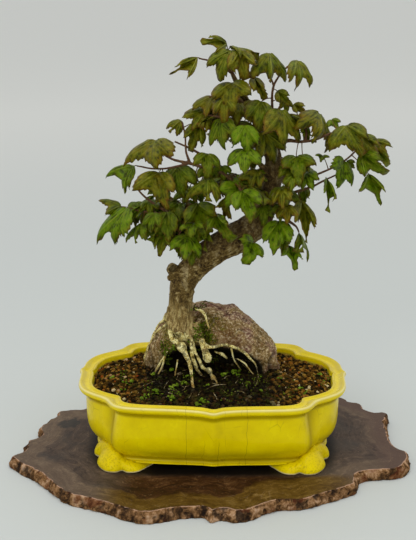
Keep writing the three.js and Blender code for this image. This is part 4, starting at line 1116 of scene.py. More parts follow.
# Each pair is an inset from the rim's outline and how far the soil stands above its own edge
SOIL_CROWN = [(17.1, 0), (26, 1.5), (50, 3.5), (78, 5), (104, 5.5)]
SOIL_COLUMNS, SOIL_RING_STEP = 260, 2
GRAIN_SHAPES, GRAIN_COUNT, GRAIN_SIZES = 14, 6400, (1.1, 3.0)
GRAIN_REACH_X, GRAIN_REACH_Y = 137, 92
UP, DOWN, JUST_ABOVE = Vector((0, 0, 1)), Vector((0, 0, -1)), Vector((0, 0, 0.0005))


def make_soil_bed():
    """One solid: up the pot's wall from its floor, and in over the top."""
    wall = [
        (inset + SOIL_CLEARANCE, max(POT_RIM_Z - drop, SOIL_FLOOR_Z)) for inset, drop in POT_INSIDE[:0:-1]
    ]
    rings = [pot_ring(inset, z, SOIL_COLUMNS) for inset, z in wall]
    insets = np.arange(wall[-1][0] + 0.4, SOIL_CROWN[-1][0], SOIL_RING_STEP)
    for inset, rise in zip(insets, np.interp(insets, *zip(*SOIL_CROWN))):
        ring = pot_ring(inset, SOIL_EDGE_Z + rise, SOIL_COLUMNS)
        ring[:, 2] += 0.9 * rough(ring, 16, 3, 31) + 0.5 * rough(ring, 3.5, 2, 32)
        rings.append(ring)
    return make_piece("soil", *closed_skin(rings))


def make_lump():
    """A rounded lump 2 across, as points and faces."""
    mesh = bmesh.new()
    bmesh.ops.create_icosphere(mesh, subdivisions=1, radius=1)
    points = np.array([vertex.co for vertex in mesh.verts])
    faces = [tuple(vertex.index for vertex in face.verts) for face in mesh.faces]
    mesh.free()
    return points, faces


def turned_any_way(points, dice):
    spin = Quaternion(dice.normal(size=4).tolist()).normalized().to_matrix()
    return points @ np.array(spin)


def make_grains(bed, stone):
    """Angular grains, laid where the soil shows and not inside the stone."""
    dice = np.random.default_rng(33)
    lump, faces = make_lump()
    shapes = []
    for _ in range(GRAIN_SHAPES):
        stretch = dice.uniform(0.72, 1.2, 3)
        shapes.append(lump * dice.uniform(0.78, 1.16, (len(lump), 1)) * stretch)
    parts, shades = [], []
    while len(parts) < GRAIN_COUNT:
        x, y = dice.uniform(-GRAIN_REACH_X, GRAIN_REACH_X), dice.uniform(-GRAIN_REACH_Y, GRAIN_REACH_Y)
        place = bed.ray_cast(Vector((x, y, METRE)) / METRE, DOWN)[0]
        if place is None or place.z * METRE < SOIL_EDGE_Z - 2:
            continue
        inside, facing, _, _ = stone.ray_cast(place + JUST_ABOVE, UP)
        if inside is not None and facing.z > 0:
            continue
        size = dice.uniform(*GRAIN_SIZES)
        middle = np.array(place) * METRE + (0, 0, dice.uniform(-0.3, 0.6) * size)
        grain = turned_any_way(shapes[dice.integers(GRAIN_SHAPES)], dice)
        parts.append((grain * size * (1, 1, 0.85) + middle, faces))
        shades += [dice.random()] * len(lump)
    return make_piece("soil_grains", *gathered(parts), smooth=False, shade=shades)


def potting_mix(name, grainy):
    mix = Finish(name, Specular_IOR_Level=0.06)
    x, y, ragged = mix.along("X"), mix.along("Y"), 30 * (mix.lumps(15, 3) - 0.5)
    if grainy:
        shade = mix.ramp(
            mix.mark("shade"),
            (0.0, 18, 11, 2), (0.3, 46, 31, 6), (0.55, 82, 56, 14), (0.72, 122, 82, 22), (0.86, 152, 120, 50),
            (0.95, 138, 62, 10), (0.985, 214, 194, 140),
        )
    else:
        # Dark fine soil under the grains, made darker as painted shade in the gaps between them
        shade = mix.ramp(mix.lumps(2.4, 3, 0.7), (0.35, 16, 10, 4), (0.55, 36, 25, 10), (0.7, 58, 40, 16))
    # Damp ground with painted shade in front of the stone and under it, darkest under the stone
    damp_and_shaded = mix.step(abs(x + 4) + ragged, 96.0, 58.0) * mix.step(y + ragged, 52.0, 24.0)
    green = mix.ramp(mix.lumps(1.4, 2), (0.3, 34, 38, 8), (0.7, 86, 92, 22))
    shade = mix.painted(
        shade,
        ((0.85 + 0.1 * mix.step(y, -62.0, -44.0)) * damp_and_shaded, (12, 8, 2)),
        (mix.spots(7, 0.52, 0.62, 4, 0.7) * (0.25 + 0.2 * damp_and_shaded), green),
    )
    return mix.dress(shade, 0.9 - 0.3 * damp_and_shaded, mix.lumps(0.9, 4, 0.7), 0.4)


soil_bed = make_soil_bed()
grains = make_grains(skin_of(soil_bed), STONE_SKIN)
soil_bed.data.materials.append(potting_mix("fine_soil", False))
grains.data.materials.append(potting_mix("soil_grain", True))
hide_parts("soil")
for piece in (soil_bed, grains):
    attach(piece, "root")

# The leaves
# Thin three-lobed blades with toothed edges, which droop from long reddish stalks. The young ones at
# the top are olive and bronze, and the ones below them are a brighter green.

# Each row is the blade's base x and z, its depth, the tips of the left, middle and right lobes as
# x and z, and the middle lobe's real length
LEAVES = [
    (-16, 441, 0, -37, 432, -44, 424, -26, 421, 34),
    (14, 455, 8, -2, 461, -11, 457, 3, 447, 28),
    (18, 448, -6, -7, 433, 5, 419, 20, 428, 34),
    (17, 451, 6, 30, 446, 48, 443, 40, 438, 34),
    (27, 447, -12, 18, 432, 34, 418, 43, 434, 30),
    (58, 445, 2, 40, 421, 60, 418, 77, 418, 36),
    (86, 438, 0, 82, 419, 90, 412, 104, 414, 38),
    (20, 415, -14, 0, 400, 17, 386, 37, 405, 36),
    (0, 401, -4, -21, 389, -8, 381, 6, 386, 30),
    (8, 378, -16, -3, 350, 11, 346, 23, 361, 34),
    (-8, 386, 0, -30, 380, -21, 367, -6, 366, 30),
    (-14, 374, -8, -29, 358, -24, 344, -12, 350, 32),
    (33, 371, -28, 23, 351, 38, 342, 47, 352, 32),
    (50, 396, -10, 36, 379, 48, 367, 60, 375, 34),
    (71, 387, -12, 57, 364, 76, 350, 92, 355, 42),
    (111, 383, -6, 92, 372, 112, 357, 127, 345, 42),
    (140, 371, -8, 123, 346, 157, 342, 161, 358, 42),
    (155, 360, 2, 157, 341, 172, 339, 174, 351, 32),
    (168, 355, 8, 171, 338, 185, 340, 188, 350, 27),
    (156, 342, -8, 162, 318, 184, 320, 177, 334, 36),
    (88, 338, -14, 75, 327, 92, 311, 107, 331, 34),
    (99, 321, -4, 96, 304, 106, 304, 111, 314, 26),
    (74, 304, -30, 65, 289, 74, 284, 82, 292, 26),
    (94, 291, -8, 89, 268, 101, 246, 110, 263, 46),
    (80, 285, -24, 70, 272, 80, 265, 91, 273, 24),
    (71, 268, -22, 57, 246, 66, 231, 83, 246, 40),
    (93, 255, -4, 91, 236, 97, 236, 106, 224, 32),
    (82, 241, -2, 77, 230, 91, 213, 97, 226, 30),
    (120, 316, -4, 117, 301, 123, 280, 131, 292, 36),
    (138, 333, -10, 126, 327, 134, 304, 149, 308, 30),
    (165, 320, -2, 157, 301, 180, 286, 184, 300, 36),
    (44, 244, -32, 32, 247, 36, 219, 54, 230, 28),
    (33, 346, -38, 17, 329, 34, 320, 50, 331, 32),
    (24, 316, -12, 32, 306, 43, 303, 44, 313, 24),
    (27, 306, -30, 8, 302, 16, 284, 27, 284, 30),
    (31, 301, -42, 26, 282, 42, 268, 51, 288, 38),
    (-6, 341, -18, -18, 331, -4, 317, 7, 327, 30),
    (-4, 314, -28, -31, 293, -5, 294, 7, 293, 32),
    (-16, 287, -16, -27, 268, -7, 249, 1, 274, 40),
    (4, 276, -26, -5, 260, 22, 246, 13, 264, 36),
    (-20, 266, -30, -36, 260, -24, 251, -11, 262, 22),
    (-27, 251, -24, -45, 237, -30, 225, -14, 231, 34),
    (-60, 355, -10, -95, 331, -61, 327, -43, 340, 42),
    (-83, 328, -2, -115, 318, -97, 301, -91, 306, 36),
    (-57, 321, -22, -84, 303, -50, 282, -43, 300, 42),
    (-37, 327, -10, -52, 303, -32, 295, -18, 309, 38),
    (-98, 284, 6, -121, 291, -115, 276, -105, 270, 26),
    (-91, 282, -12, -127, 246, -109, 245, -99, 252, 44),
    (-52, 259, -12, -62, 238, -57, 229, -47, 241, 32),
    (-49, 278, -22, -61, 256, -48, 246, -42, 256, 34),
]

# The frame's solid leaves were slid towards or away from the front, by one of these, to lie clear
SLIDES = [0, 4, -4, 8, -8, 12, -12, 16, -16, 20, -20, 24, -24, 28, -28, 34, -34, 40, 46]

# Further leaves, which the frame leaves out, by the part of the crown that they fill
MORE_LEAVES = {
    "crown": [
        (-33, 376, 0, -49, 370, -45, 366, -37, 362, 20), (42, 421, -4, 44, 408, 54, 398, 52, 408, 26),
        (12, 400, -22, 2, 384, 12, 376, 22, 386, 28), (67, 407, -2, 70, 396, 80, 392, 78, 402, 20),
        (84, 393, 6, 88, 385, 97, 384, 95, 391, 16),
        (41, 397, -8, 24, 379, 39, 374, 56, 380, 28), (53, 365, -14, 52, 337, 68, 331, 78, 344, 36),
        (48, 323, -18, 26, 313, 40, 303, 49, 306, 26), (17, 296, -22, 4, 284, 10, 268, 21, 271, 24),
        (63, 380, -6, 59, 370, 65, 363, 70, 369, 16), (27, 394, -4, 14, 380, 25, 373, 37, 379, 28),
        (40, 345, 6, 34, 334, 44, 324, 52, 331, 22), (74, 398, 2, 71, 389, 79, 385, 84, 390, 14),
    ],
    "right": [
        (124, 377, 8, 121, 370, 131, 368, 133, 375, 14), (172, 347, 0, 177, 335, 186, 328, 184, 338, 22),
        (116, 339, 0, 109, 340, 114, 333, 123, 338, 10), (86, 318, -26, 76, 309, 83, 303, 92, 308, 22),
        (98, 304, 4, 92, 290, 98, 286, 102, 294, 20), (76, 252, -6, 72, 240, 77, 231, 80, 240, 24),
        (142, 333, 2, 141, 325, 150, 326, 150, 332, 12),
        (72, 305, -14, 62, 288, 81, 283, 97, 287, 28), (95, 338, -10, 88, 328, 102, 324, 109, 331, 22),
        (82, 331, -16, 72, 317, 82, 307, 94, 315, 28), (95, 373, -2, 94, 364, 99, 353, 102, 361, 18),
        (111, 367, -6, 107, 362, 106, 354, 112, 358, 13), (53, 286, -12, 44, 270, 55, 263, 65, 273, 26),
        (75, 286, -16, 59, 276, 72, 269, 84, 277, 24),
    ],
    "left": [
        (44, 321, -8, 47, 310, 57, 312, 56, 320, 18), (-20, 240, -6, -33, 226, -24, 218, -16, 226, 26),
        (-76, 265, -20, -95, 247, -86, 247, -76, 250, 28), (-64, 268, -6, -74, 247, -66, 244, -57, 248, 28),
        (-40, 286, -4, -62, 272, -52, 266, -36, 270, 30), (-38, 262, 4, -47, 242, -35, 226, -27, 238, 34),
        (-62, 277, -28, -76, 263, -68, 256, -58, 262, 24),
        (-52, 307, -14, -68, 298, -60, 289, -49, 290, 24), (-24, 306, 4, -43, 291, -32, 287, -18, 290, 28),
        (-37, 288, -6, -49, 281, -44, 269, -34, 272, 22), (-17, 263, -12, -29, 249, -20, 238, -9, 247, 26),
        (-7, 260, -14, -15, 247, -8, 235, 0, 246, 24), (-82, 289, 2, -89, 279, -76, 274, -67, 280, 22),
        (-6, 327, -10, -15, 316, -4, 308, 5, 316, 22), (10, 328, -6, 2, 322, 12, 313, 19, 321, 18),
        (-14, 306, 8, -21, 294, -12, 288, -4, 294, 22), (-29, 278, 0, -39, 268, -28, 260, -17, 269, 22),
        (-67, 291, -4, -77, 282, -67, 276, -59, 282, 22),
    ],
}

# Which way each leaf's colour goes, from 0 for bright green, past olive and bronze, to 1 for yellow
LEAF_TINTS = {
    0.05: (13, 22, 26, 28, 30, 32, 33, 35, 36, 42, 48), 0.3: (20, 27, 29, 31, 34, 40, 41, 44, 50),
    0.45: (10, 14, 21, 37, 38, 39, 46, 47, 49), 0.57: (1, 2, 3, 4, 5, 6, 7, 8, 11, 12, 15, 16, 17, 18, 19),
    0.63: (9, 23, 24, 25, 43, 45),
}
MORE_TINTS = {"crown": 0.6, "right": 0.4, "left": 0.3, "rear": 0.45}

# Where the crown has leaves as the front shows it, as x and z, which leaves the gaps between them open
CROWN_OUTLINES = [
    [(1, 440), (15, 448), (28, 452), (42, 440), (61, 444), (75, 424), (51, 422), (34, 418), (20, 424),
     (3, 420)],
    [(1, 412), (32, 414), (51, 395), (78, 385), (94, 364), (77, 345), (52, 335), (27, 354), (-7, 356),
     (-26, 362), (-24, 383), (-1, 393)],
    [(-90, 324), (-66, 324), (-45, 326), (-22, 317), (1, 326), (27, 319), (29, 296), (10, 296),
     (-7, 293), (-33, 289), (-50, 291), (-73, 302)],
    [(-117, 278), (-89, 282), (-65, 287), (-33, 289), (-9, 287), (8, 276), (10, 260), (-7, 240),
     (-25, 224), (-40, 240), (-59, 233), (-72, 249), (-96, 251), (-117, 253)],
    [(27, 313), (52, 326), (75, 335), (105, 335), (110, 313), (97, 296), (84, 276), (80, 254),
     (79, 240), (64, 236), (49, 247), (38, 274), (27, 287)],
    [(91, 383), (108, 383), (123, 366), (125, 349), (110, 366), (93, 368)],
    [(131, 377), (152, 366), (167, 362), (185, 343), (183, 326), (160, 337), (147, 345), (136, 354)],
]

LOBE_ANGLE, SIDE_LOBE, LOBE_ARCH = 40, 0.88, 0.16
LOBE_WIDTH, NOTCH_ANGLE = 1.0, 21
BLADE_THICKNESS = 0.4
BLADE_RINGS, FURTHER_RINGS, REAR_RINGS = 8, 6, 4
TOOTH_DEPTH, TIP_CHANGE, GUTTER_DEPTH, GUTTER_WIDTH = 0.035, 0.03, 0.012, 0.09
STALK_RADIUS, LOWEST_STALK_Z = 0.5, 222
FILLER_COUNT, FILLER_LENGTHS, FILLER_STALKS, REAR_STEMS = 160, (20, 34), (5, 13), 8
THICKEST_LEAFY_STEM, CROWN_MIDDLE_X = 2.6, 30

# Half of the flat outline: the angle from the middle lobe, and the reach from the base as a part of
# the middle lobe's length
HALF_LEAF = [
    (0, 1.05), (1.7, 1), (4, 0.955), (7, 0.905), (10, 0.86), (13, 0.81), (16, 0.75), (19, 0.69),
    (21, 0.66), (23.5, 0.68), (26, 0.715), (29, 0.76), (32, 0.81), (35, 0.855), (38, 0.9), (40, 0.93),
    (42, 0.905), (45, 0.865), (49, 0.815), (53, 0.765), (58, 0.7), (63, 0.63), (69, 0.545),
    (76, 0.445), (84, 0.335), (92, 0.235), (99, 0.15), (106, 0.08),
]

# For the leaves that hang folded, by their numbers: as a part of the usual width,
# how wide the lobes are and how much more, or less, the tips curl under than usual
LEAF_WIDTHS = {
    0.42: (1, 29, 31), 0.55: (2, 4, 27, 28, 44), 0.66: (24,), 0.75: (7, 12, 19, 40),
    0.88: (5, 17, 18, 20, 37, 38, 45),
}
LEAF_CURLS = {0.14: (4, 7, 16, 20, 28, 43), -0.5: (1, 24, 29, 31)}


def lobe_tips(base, row):
    """The tips in space: what a lobe's length has left over its seen length is depth."""
    tips = []
    for x, z, part in ((row[3], row[4], SIDE_LOBE), (row[5], row[6], 1), (row[7], row[8], SIDE_LOBE)):
        left = (part * row[9]) ** 2 - ((on_sight(x, z, base[1]) - base) ** 2).sum()
        tips.append(on_sight(x, z, base[1] - math.sqrt(max(left, 0))))
    return tips


def blade_normal(base, tips):
    normal = np.cross(tips[1] - base, tips[2] - tips[0])
    normal /= np.linalg.norm(normal)
    return normal if normal[2] >= 0 else -normal


def bowed(start, crest, end, t):
    """Places on a bow from start to end, drawn towards a crest, as t goes from 0 to 1."""
    return (1 - t) ** 2 * start + 2 * (1 - t) * t * crest + t**2 * end


def blade_points(base, tips, length, angles, reaches):
    """Places on the drooping blade, by angle and reach in the flat leaf."""
    normal = blade_normal(base, tips)
    ribs = []
    for tip, part in zip(tips, (SIDE_LOBE, 1, SIDE_LOBE)):
        crest = (base + tip) / 2 + LOBE_ARCH * length * normal
        ribs.append(bowed(base, crest, tip, (reaches / part)[:, None]))
    side = np.where((angles < 0)[:, None], ribs[0], ribs[2])
    share = np.minimum(np.abs(angles) / LOBE_ANGLE, 1)[:, None]
    points = ribs[1] * (1 - share) + side * share
    further = np.radians(np.sign(angles) * np.maximum(np.abs(angles) - LOBE_ANGLE, 0))[:, None]
    arm = points - base
    up = (arm @ normal)[:, None] * normal
    return base + up + (arm - up) * np.cos(further) + np.cross(normal, arm) * np.sin(further)


def sheet_normals(points, faces):
    normals = np.zeros_like(points)
    for corners in np.array(faces):
        a, b, c = points[corners[0]], points[corners[1]], points[corners[2]]
        np.add.at(normals, corners, np.cross(b - a, c - a))
    return normals / np.maximum(np.linalg.norm(normals, axis=1), 1e-9)[:, None]


def make_blade(base, tips, length, width, hook, rings, dice):
    """A blade's points and faces, and for each point its place along and across the nearest rib."""
    half = np.array(HALF_LEAF)
    rib = np.where(half[:, 0] < NOTCH_ANGLE + 1, 0, LOBE_ANGLE)
    half[:, 0] = rib + (half[:, 0] - rib) * width
    angles, reach = np.vstack([half[:0:-1] * (-1, 1), half]).T
    columns = len(angles)
    toothed = (np.arange(columns) % 2) * np.clip(np.abs(angles % LOBE_ANGLE - 0.1) / 4, 0, 1)
    changed = dice.normal(size=columns) * (np.abs(angles) > 1)
    reach = reach * (1 + TOOTH_DEPTH * toothed) * (1 + TIP_CHANGE * changed)
    steps = (np.arange(1, rings + 1) / rings) ** 0.85
    flat_angle = np.concatenate([[0], np.tile(angles, rings)])
    flat_reach = np.concatenate([[0], np.outer(steps, reach).ravel()])
    edge = np.concatenate([[0], np.repeat(steps, columns)])
    rib = np.clip(np.round(flat_angle / LOBE_ANGLE), -1, 1) * LOBE_ANGLE
    turn = np.radians(flat_angle - rib)
    along, across = flat_reach * np.cos(turn), np.abs(flat_reach * np.sin(turn))
    faces = [(0, column, column + 1) for column in range(1, columns)]
    for ring in range(rings - 1):
        for column in range(1, columns):
            here, out = ring * columns + column, (ring + 1) * columns + column
            faces.append((here, out, out + 1))
            faces.append((here, out + 1, here + 1))
    points = blade_points(base, tips, length, flat_angle, flat_reach)
    normals = sheet_normals(points, faces)
    if normals[:, 2].sum() < 0:
        faces = [face[::-1] for face in faces]
        normals = -normals
    seed = dice.integers(1000)
    places = np.column_stack([flat_reach * np.sin(np.radians(flat_angle)), flat_reach, 0 * flat_reach])
    wave = rough(places, 0.4, 2, seed)
    curl = dice.uniform(0.15, 0.75) + hook
    gutter = GUTTER_DEPTH * np.cos(across * 70) * (across < GUTTER_WIDTH)
    lift = 0.05 * wave * edge - 1.7 * across**2 + gutter
    lift = lift - curl * np.maximum(edge * flat_reach - 0.45, 0) ** 2
    points = points + normals * (lift * length)[:, None]
    normals = sheet_normals(points, faces)
    count, half_thick = len(points), normals * BLADE_THICKNESS / 2
    skins = np.vstack([points + half_thick, points - half_thick])
    solid = faces + [tuple(corner + count for corner in face[::-1]) for face in faces]
    last = (rings - 1) * columns
    border = [0] + [ring * columns + 1 for ring in range(rings)]
    border += [last + column for column in range(2, columns)]
    border += [ring * columns + columns for ring in range(rings - 1, -1, -1)]
    if faces[0] != (0, 1, 2):
        border = border[::-1]
    for a, b in zip(border, border[1:] + border[:1]):
        solid.append((a, a + count, b + count, b))
    return skins, solid, np.tile(along * length, 2), np.tile(across * length, 2), np.tile(edge, 2)


def make_stalk(base, tips, root):
    away = base - tips[1]
    away = away / np.linalg.norm(away)
    bend = base * 0.6 + root * 0.4 + 0.2 * np.linalg.norm(base - root) * away
    t = np.linspace(0, 1, 9)[:, None]
    middle = bowed(base - 0.5 * away, bend, root, t)
    return tube(np.hstack([middle, STALK_RADIUS * (1 + 0.5 * t**6)]), 6)


WOOD_PLACES = np.vstack([line for line in WOOD_LIMBS if line[:, 2].max() > LOWEST_STALK_Z])[:, :3]
WOOD_PLACES = WOOD_PLACES[WOOD_PLACES[:, 2] > LOWEST_STALK_Z]


def nearest_wood(place):
    return WOOD_PLACES[np.argmin(((WOOD_PLACES - place) ** 2).sum(1))]


def leaf_parts(base, tips, length, root, tint, rings, dice, width=LOBE_WIDTH, hook=0):
    """A blade and its stalk as one mesh, with the marks of both."""
    points, faces, along, across, edge = make_blade(base, tips, length, width, hook, rings, dice)
    stalk_points, stalk_faces = make_stalk(base, tips, root)
    points, faces = gathered([(points, faces), (stalk_points, stalk_faces)])
    more = np.zeros(len(stalk_points))
    tint = tint + dice.normal() * 0.05
    marks = {
        "along": np.append(along, more), "across": np.append(across, more + 0.3),
        "edge": np.append(edge, more), "tint": np.full(len(points), tint),
        "stalk": np.append(0 * edge, more + 1),
    }
    return points, faces, marks


def make_leaves(name, leaves):
    """Leaves as one piece."""
    marks = {mark: np.concatenate([leaf[2][mark] for leaf in leaves]) for mark in leaves[0][2]}
    return make_piece(name, *gathered([leaf[:2] for leaf in leaves]), **marks)


def solid_leaf_place(row, solid):
    """Where the frame's leaf of a row lies: its base and its tips."""
    corners = places_of(solid)
    choices = []
    for slide in SLIDES:
        base = on_sight(row[0], row[1], row[2] + slide)
        tips = lobe_tips(base, row)
        choices.append((sum(np.linalg.norm(corners - tip, axis=1).min() for tip in tips), base, tips))
    return min(choices, key=lambda choice: choice[0])[1:]


def stalk_root(solid, wood):
    """The place on the wood beside the corner of the frame's leaf that lies nearest to it."""
    gaps = [wood.find_nearest(vertex.co)[3] for vertex in solid.data.vertices]
    return nearest_wood(places_of(solid)[np.argmin(gaps)])


def inside(place, outline):
    """Whether a flat place lies inside an outline: a line from it crosses the edge an odd number of times."""
    crossings = 0
    for (x0, z0), (x1, z1) in zip(outline, outline[1:] + outline[:1]):
        if (z0 > place[1]) != (z1 > place[1]):
            crossings += place[0] < x0 + (x1 - x0) * (place[1] - z0) / (z1 - z0)
    return crossings % 2 == 1


def filler_leaves(dice):
    """Leaves at the back of the crown, which the front shows only in parts."""
    stems = [line[line[:, 3] < THICKEST_LEAFY_STEM] for line in BRANCH_LIMBS]
    stems = [line for line in stems if len(line) > 4]
    swing = math.radians(LOBE_ANGLE)
    leaves = []
    number = 0
    while len(leaves) < FILLER_COUNT:
        number += 1
        line = stems[-1 - number % REAR_STEMS] if number % 3 == 0 else stems[number % len(stems)]
        root = line[dice.integers(len(line) // 4, len(line))][:3]
        heading = math.atan2(root[1], root[0] - CROWN_MIDDLE_X) + dice.normal() * 0.8
        if number % 3:
            heading = math.atan2(abs(math.sin(heading)) + 0.2, math.cos(heading))
        flat = np.array([math.cos(heading), math.sin(heading), 0])
        across = np.array([-flat[1], flat[0], 0])
        length = dice.uniform(*FILLER_LENGTHS)
        base = root + flat * dice.uniform(*FILLER_STALKS) + (0, 0, dice.uniform(2, 9))
        droop = dice.uniform(0.5, 1.0)
        middle = base + length * (flat * math.cos(droop) - np.array([0, 0, math.sin(droop)]))
        ahead = base + SIDE_LOBE * (middle - base) * math.cos(swing)
        aside = across * SIDE_LOBE * length * math.sin(swing)
        tips = [ahead + aside, middle, ahead - aside]
        seen = seen_from_front(np.array([base, *tips]))
        if not all(any(inside(place, outline) for outline in CROWN_OUTLINES) for place in seen):
            continue
        tint = MORE_TINTS["rear"] + 0.2 * (root[2] > 360) - 0.2 * (root[2] < 300)
        leaves.append(leaf_parts(base, tips, length, root, tint, REAR_RINGS, dice))
    return leaves


def veined_leaf():
    leaf = Finish("veined_leaf", Specular_IOR_Level=0.28, Specular_Tint=(1.0, 1.0, 0.35, 1.0))
    along, across, edge, tint = (leaf.mark(name) for name in ("along", "across", "edge", "tint"))
    blotch, mottle, fine = leaf.lumps(10, 4, 0.6), leaf.lumps(6, 3, 0.55), leaf.lumps(1.1, 3, 0.6)
    ribwise = leaf.node("ShaderNodeCombineXYZ", {0: 0.22 * along, 1: across, 2: 40 * tint})
    # Streaky noise along the ribs, for the leaf's mottling, its relief and painted shade in its folds
    uneven = 0.45 * mottle + 0.55 * leaf.lumps(2.0, 3, 0.6, place=ribwise)
    green = leaf.ramp(
        tint + 0.75 * (blotch - 0.5) + 0.2 * leaf.step(edge, 0.7, 1.0),
        (0.0, 94, 124, 0), (0.22, 84, 110, 0), (0.45, 77, 91, 0), (0.62, 87, 87, 0), (0.8, 100, 87, 4),
        (0.96, 114, 84, 12),
    )
    slant = leaf.maths("FRACT", (along - across * 1.25) / 4.2)
    side_veins = leaf.step(abs(slant - 0.5), 0.09, 0.02) * leaf.step(across, 0.3, 1.2)
    veins = 0.34 * leaf.step(across, 0.5, 0.12) + 0.26 * side_veins
    margin = leaf.step(edge, 0.9, 1.0) * leaf.step(blotch, 0.4, 0.58)
    stalk = leaf.ramp(leaf.lumps(6, 2), (0.35, 84, 74, 26), (0.65, 104, 56, 32))
    shade = leaf.painted(
        green,
        (0.5 * leaf.step(uneven, 0.52, 0.64), (136, 132, 36)),
        # Dark streaks along the ribs: painted shade in the folds between the veins, with the leaf's own
        # mottling
        (0.85 * leaf.step(uneven, 0.51, 0.38), (20, 28, 0)),
        (veins, (136, 142, 44)),
        (0.6 * margin, (96, 50, 26)),
        (leaf.mark("stalk"), stalk),
    )
    return leaf.dress(shade, 0.32 + 0.2 * fine, fine * 0.4 - veins * 1.8 + uneven * 1.4, 0.45)


def by_leaf(table):
    """A table turned round, to give a value for each leaf's number."""
    return {number: value for value, numbers in table.items() for number in numbers}


leaf_finish = veined_leaf()
leaf_dice = np.random.default_rng(41)
tints, widths, curls = by_leaf(LEAF_TINTS), by_leaf(LEAF_WIDTHS), by_leaf(LEAF_CURLS)
solid_wood = skin_of(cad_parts["tree"])
leaf_pieces = []
for number, row in enumerate(LEAVES, 1):
    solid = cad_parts[f"leaf_{number:02d}"]
    base, tips = solid_leaf_place(row, solid)
    root = stalk_root(solid, solid_wood)
    width, hook = widths.get(number, LOBE_WIDTH), curls.get(number, 0)
    leaf = leaf_parts(base, tips, row[9], root, tints[number], BLADE_RINGS, leaf_dice, width, hook)
    piece = make_leaves(f"maple_leaf_{number:02d}", [leaf])
    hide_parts(f"leaf_{number:02d}")
    leaf_pieces.append(piece)
for place, rows in MORE_LEAVES.items():
    leaves = []
    for row in rows:
        base = on_sight(*row[:3])
        tips, root = lobe_tips(base, row), nearest_wood(base)
        leaves.append(leaf_parts(base, tips, row[9], root, MORE_TINTS[place], FURTHER_RINGS, leaf_dice))
    leaf_pieces.append(make_leaves(f"more_leaves_{place}", leaves))
leaf_pieces.append(make_leaves("more_leaves_rear", filler_leaves(leaf_dice)))
for piece in leaf_pieces:
    piece.data.materials.append(leaf_finish)
    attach(piece, "root")

# The moss, seedlings and fine roots
# Small plants that grow in the damp ground round the stone: cushions of moss, seedlings with round
# leaflets, and threads of pale root that lie on the soil.

# Each seedling's x and z as the front shows it, and its number of leaflets
SEEDLINGS = [
    (-43.6, 121.3, 5), (-41.3, 124.9, 4), (-51.5, 109.9, 6), (-49.9, 105.1, 4), (16.4, 91.9, 6),
    (13.6, 88.3, 4), (24.3, 92.5, 5), (27.1, 90.7, 4), (-42.3, 75.9, 6), (-45.2, 72.3, 4),
    (-33.8, 77.8, 5), (-63.9, 66.1, 5), (-62.8, 69.8, 4), (-49.2, 62.4, 7), (-53.8, 60, 4),
    (-43.6, 60, 5), (-78.8, 59.9, 6), (-75.3, 63.6, 4), (-11.8, 57, 6), (-8.4, 55.1, 5), (-16.4, 53.9, 4),
    (-6.7, 76.6, 4), (97.9, 73.8, 5), (104.9, 66.5, 4), (121.1, 89.7, 4), (-92, 80.7, 5),
    (-96.5, 78.3, 4), (-113.3, 85.6, 4), (-104.6, 70.9, 3), (-28.7, 87, 3), (-67, 88.1, 3),
    (-46.6, 94.2, 3), (-18.4, 121.9, 3), (-25.1, 120.1, 3), (-27.3, 130.3, 3), (31, 94.4, 3),
    (56.1, 68.8, 3), (77.3, 84.8, 3),
]

# Each patch of moss: x and z as the front shows it, its spread and its number of tufts
MOSS_PATCHES = [
    (-13.9, 142.2, 7.7, 70), (-6.1, 138.6, 6.6, 60), (-10.5, 148.1, 5.5, 40), (-18.4, 135, 4.4, 30),
    (-2.8, 131.5, 4.4, 30), (-52, 117.1, 5.5, 45), (-49.9, 107.5, 5.5, 35), (-54.1, 125.4, 4.4, 25),
    (-39, 66.1, 8.8, 26), (19.9, 63.8, 9.9, 26), (-70.6, 73.4, 8.8, 24), (2.8, 107.6, 5.5, 18),
    (53.7, 83.5, 9.9, 26), (-18.2, 169.2, 4.4, 18), (-10.5, 173.8, 4.4, 16), (-27.6, 83.3, 8.8, 24),
    (-104.1, 92.9, 9.9, 20), (87.8, 68.9, 11, 24), (126.9, 83.6, 9.9, 20), (36.8, 77.3, 8.8, 22),
]

# Threads of root that lie on the ground, as x and z where the front shows them
THREADS = [
    [(-83.1, 72.2), (-78.5, 75.9), (-72.8, 78.7), (-67.1, 81), (-59.2, 80.8)],
    [(-49, 82), (-52.5, 77.1), (-54.8, 72.2)],
    [(-28.6, 95.5), (-33.1, 94.6), (-37.1, 91.8), (-39.4, 86.3)],
    [(-57.7, 107.5), (-62.3, 102), (-66.9, 96), (-70.3, 90.5)],
    [(-23.7, 67.4), (-24.8, 63.7), (-27.1, 61.3)],
    [(20.8, 111.2), (28.6, 108.8), (37.6, 107.7), (43.2, 105.9)],
    [(48.8, 106.5), (50.1, 98), (51.9, 88.3), (50.3, 79.8), (48.1, 73.7)],
    [(33.7, 102.8), (38.8, 96.8), (43.4, 89.5)],
    [(82.8, 90.8), (89.6, 87.2), (97.6, 83.6)],
    [(25.6, 68.8), (32.4, 69.4), (38.1, 66.3)],
    [(0.7, 67.5), (4.1, 62.6), (5.2, 58.9)],
    [(-55.6, 97.8), (-57.9, 91.7), (-55.8, 84.5)],
    [(9.7, 61.3), (15.4, 59.5)],
    [(26.6, 79.8), (31.1, 84.7), (34.6, 76.1), (33.5, 71.2)],
]
THREAD_RADIUS, THREAD_SIDES, THREAD_STEPS, LONGEST_THREAD = 0.42, 6, 4, 45
LOOSE_THREADS, LOOSE_X, LOOSE_Z, LOOSE_STEP = 16, (-75, 60), (58, 92), (4.5, 2.5)
LEAFLET_SIZES, LEAFLET_SPREAD, TUFT_SIZES = (1.6, 2.8), (1.7, 1.4, 0.6), (0.6, 1.3)


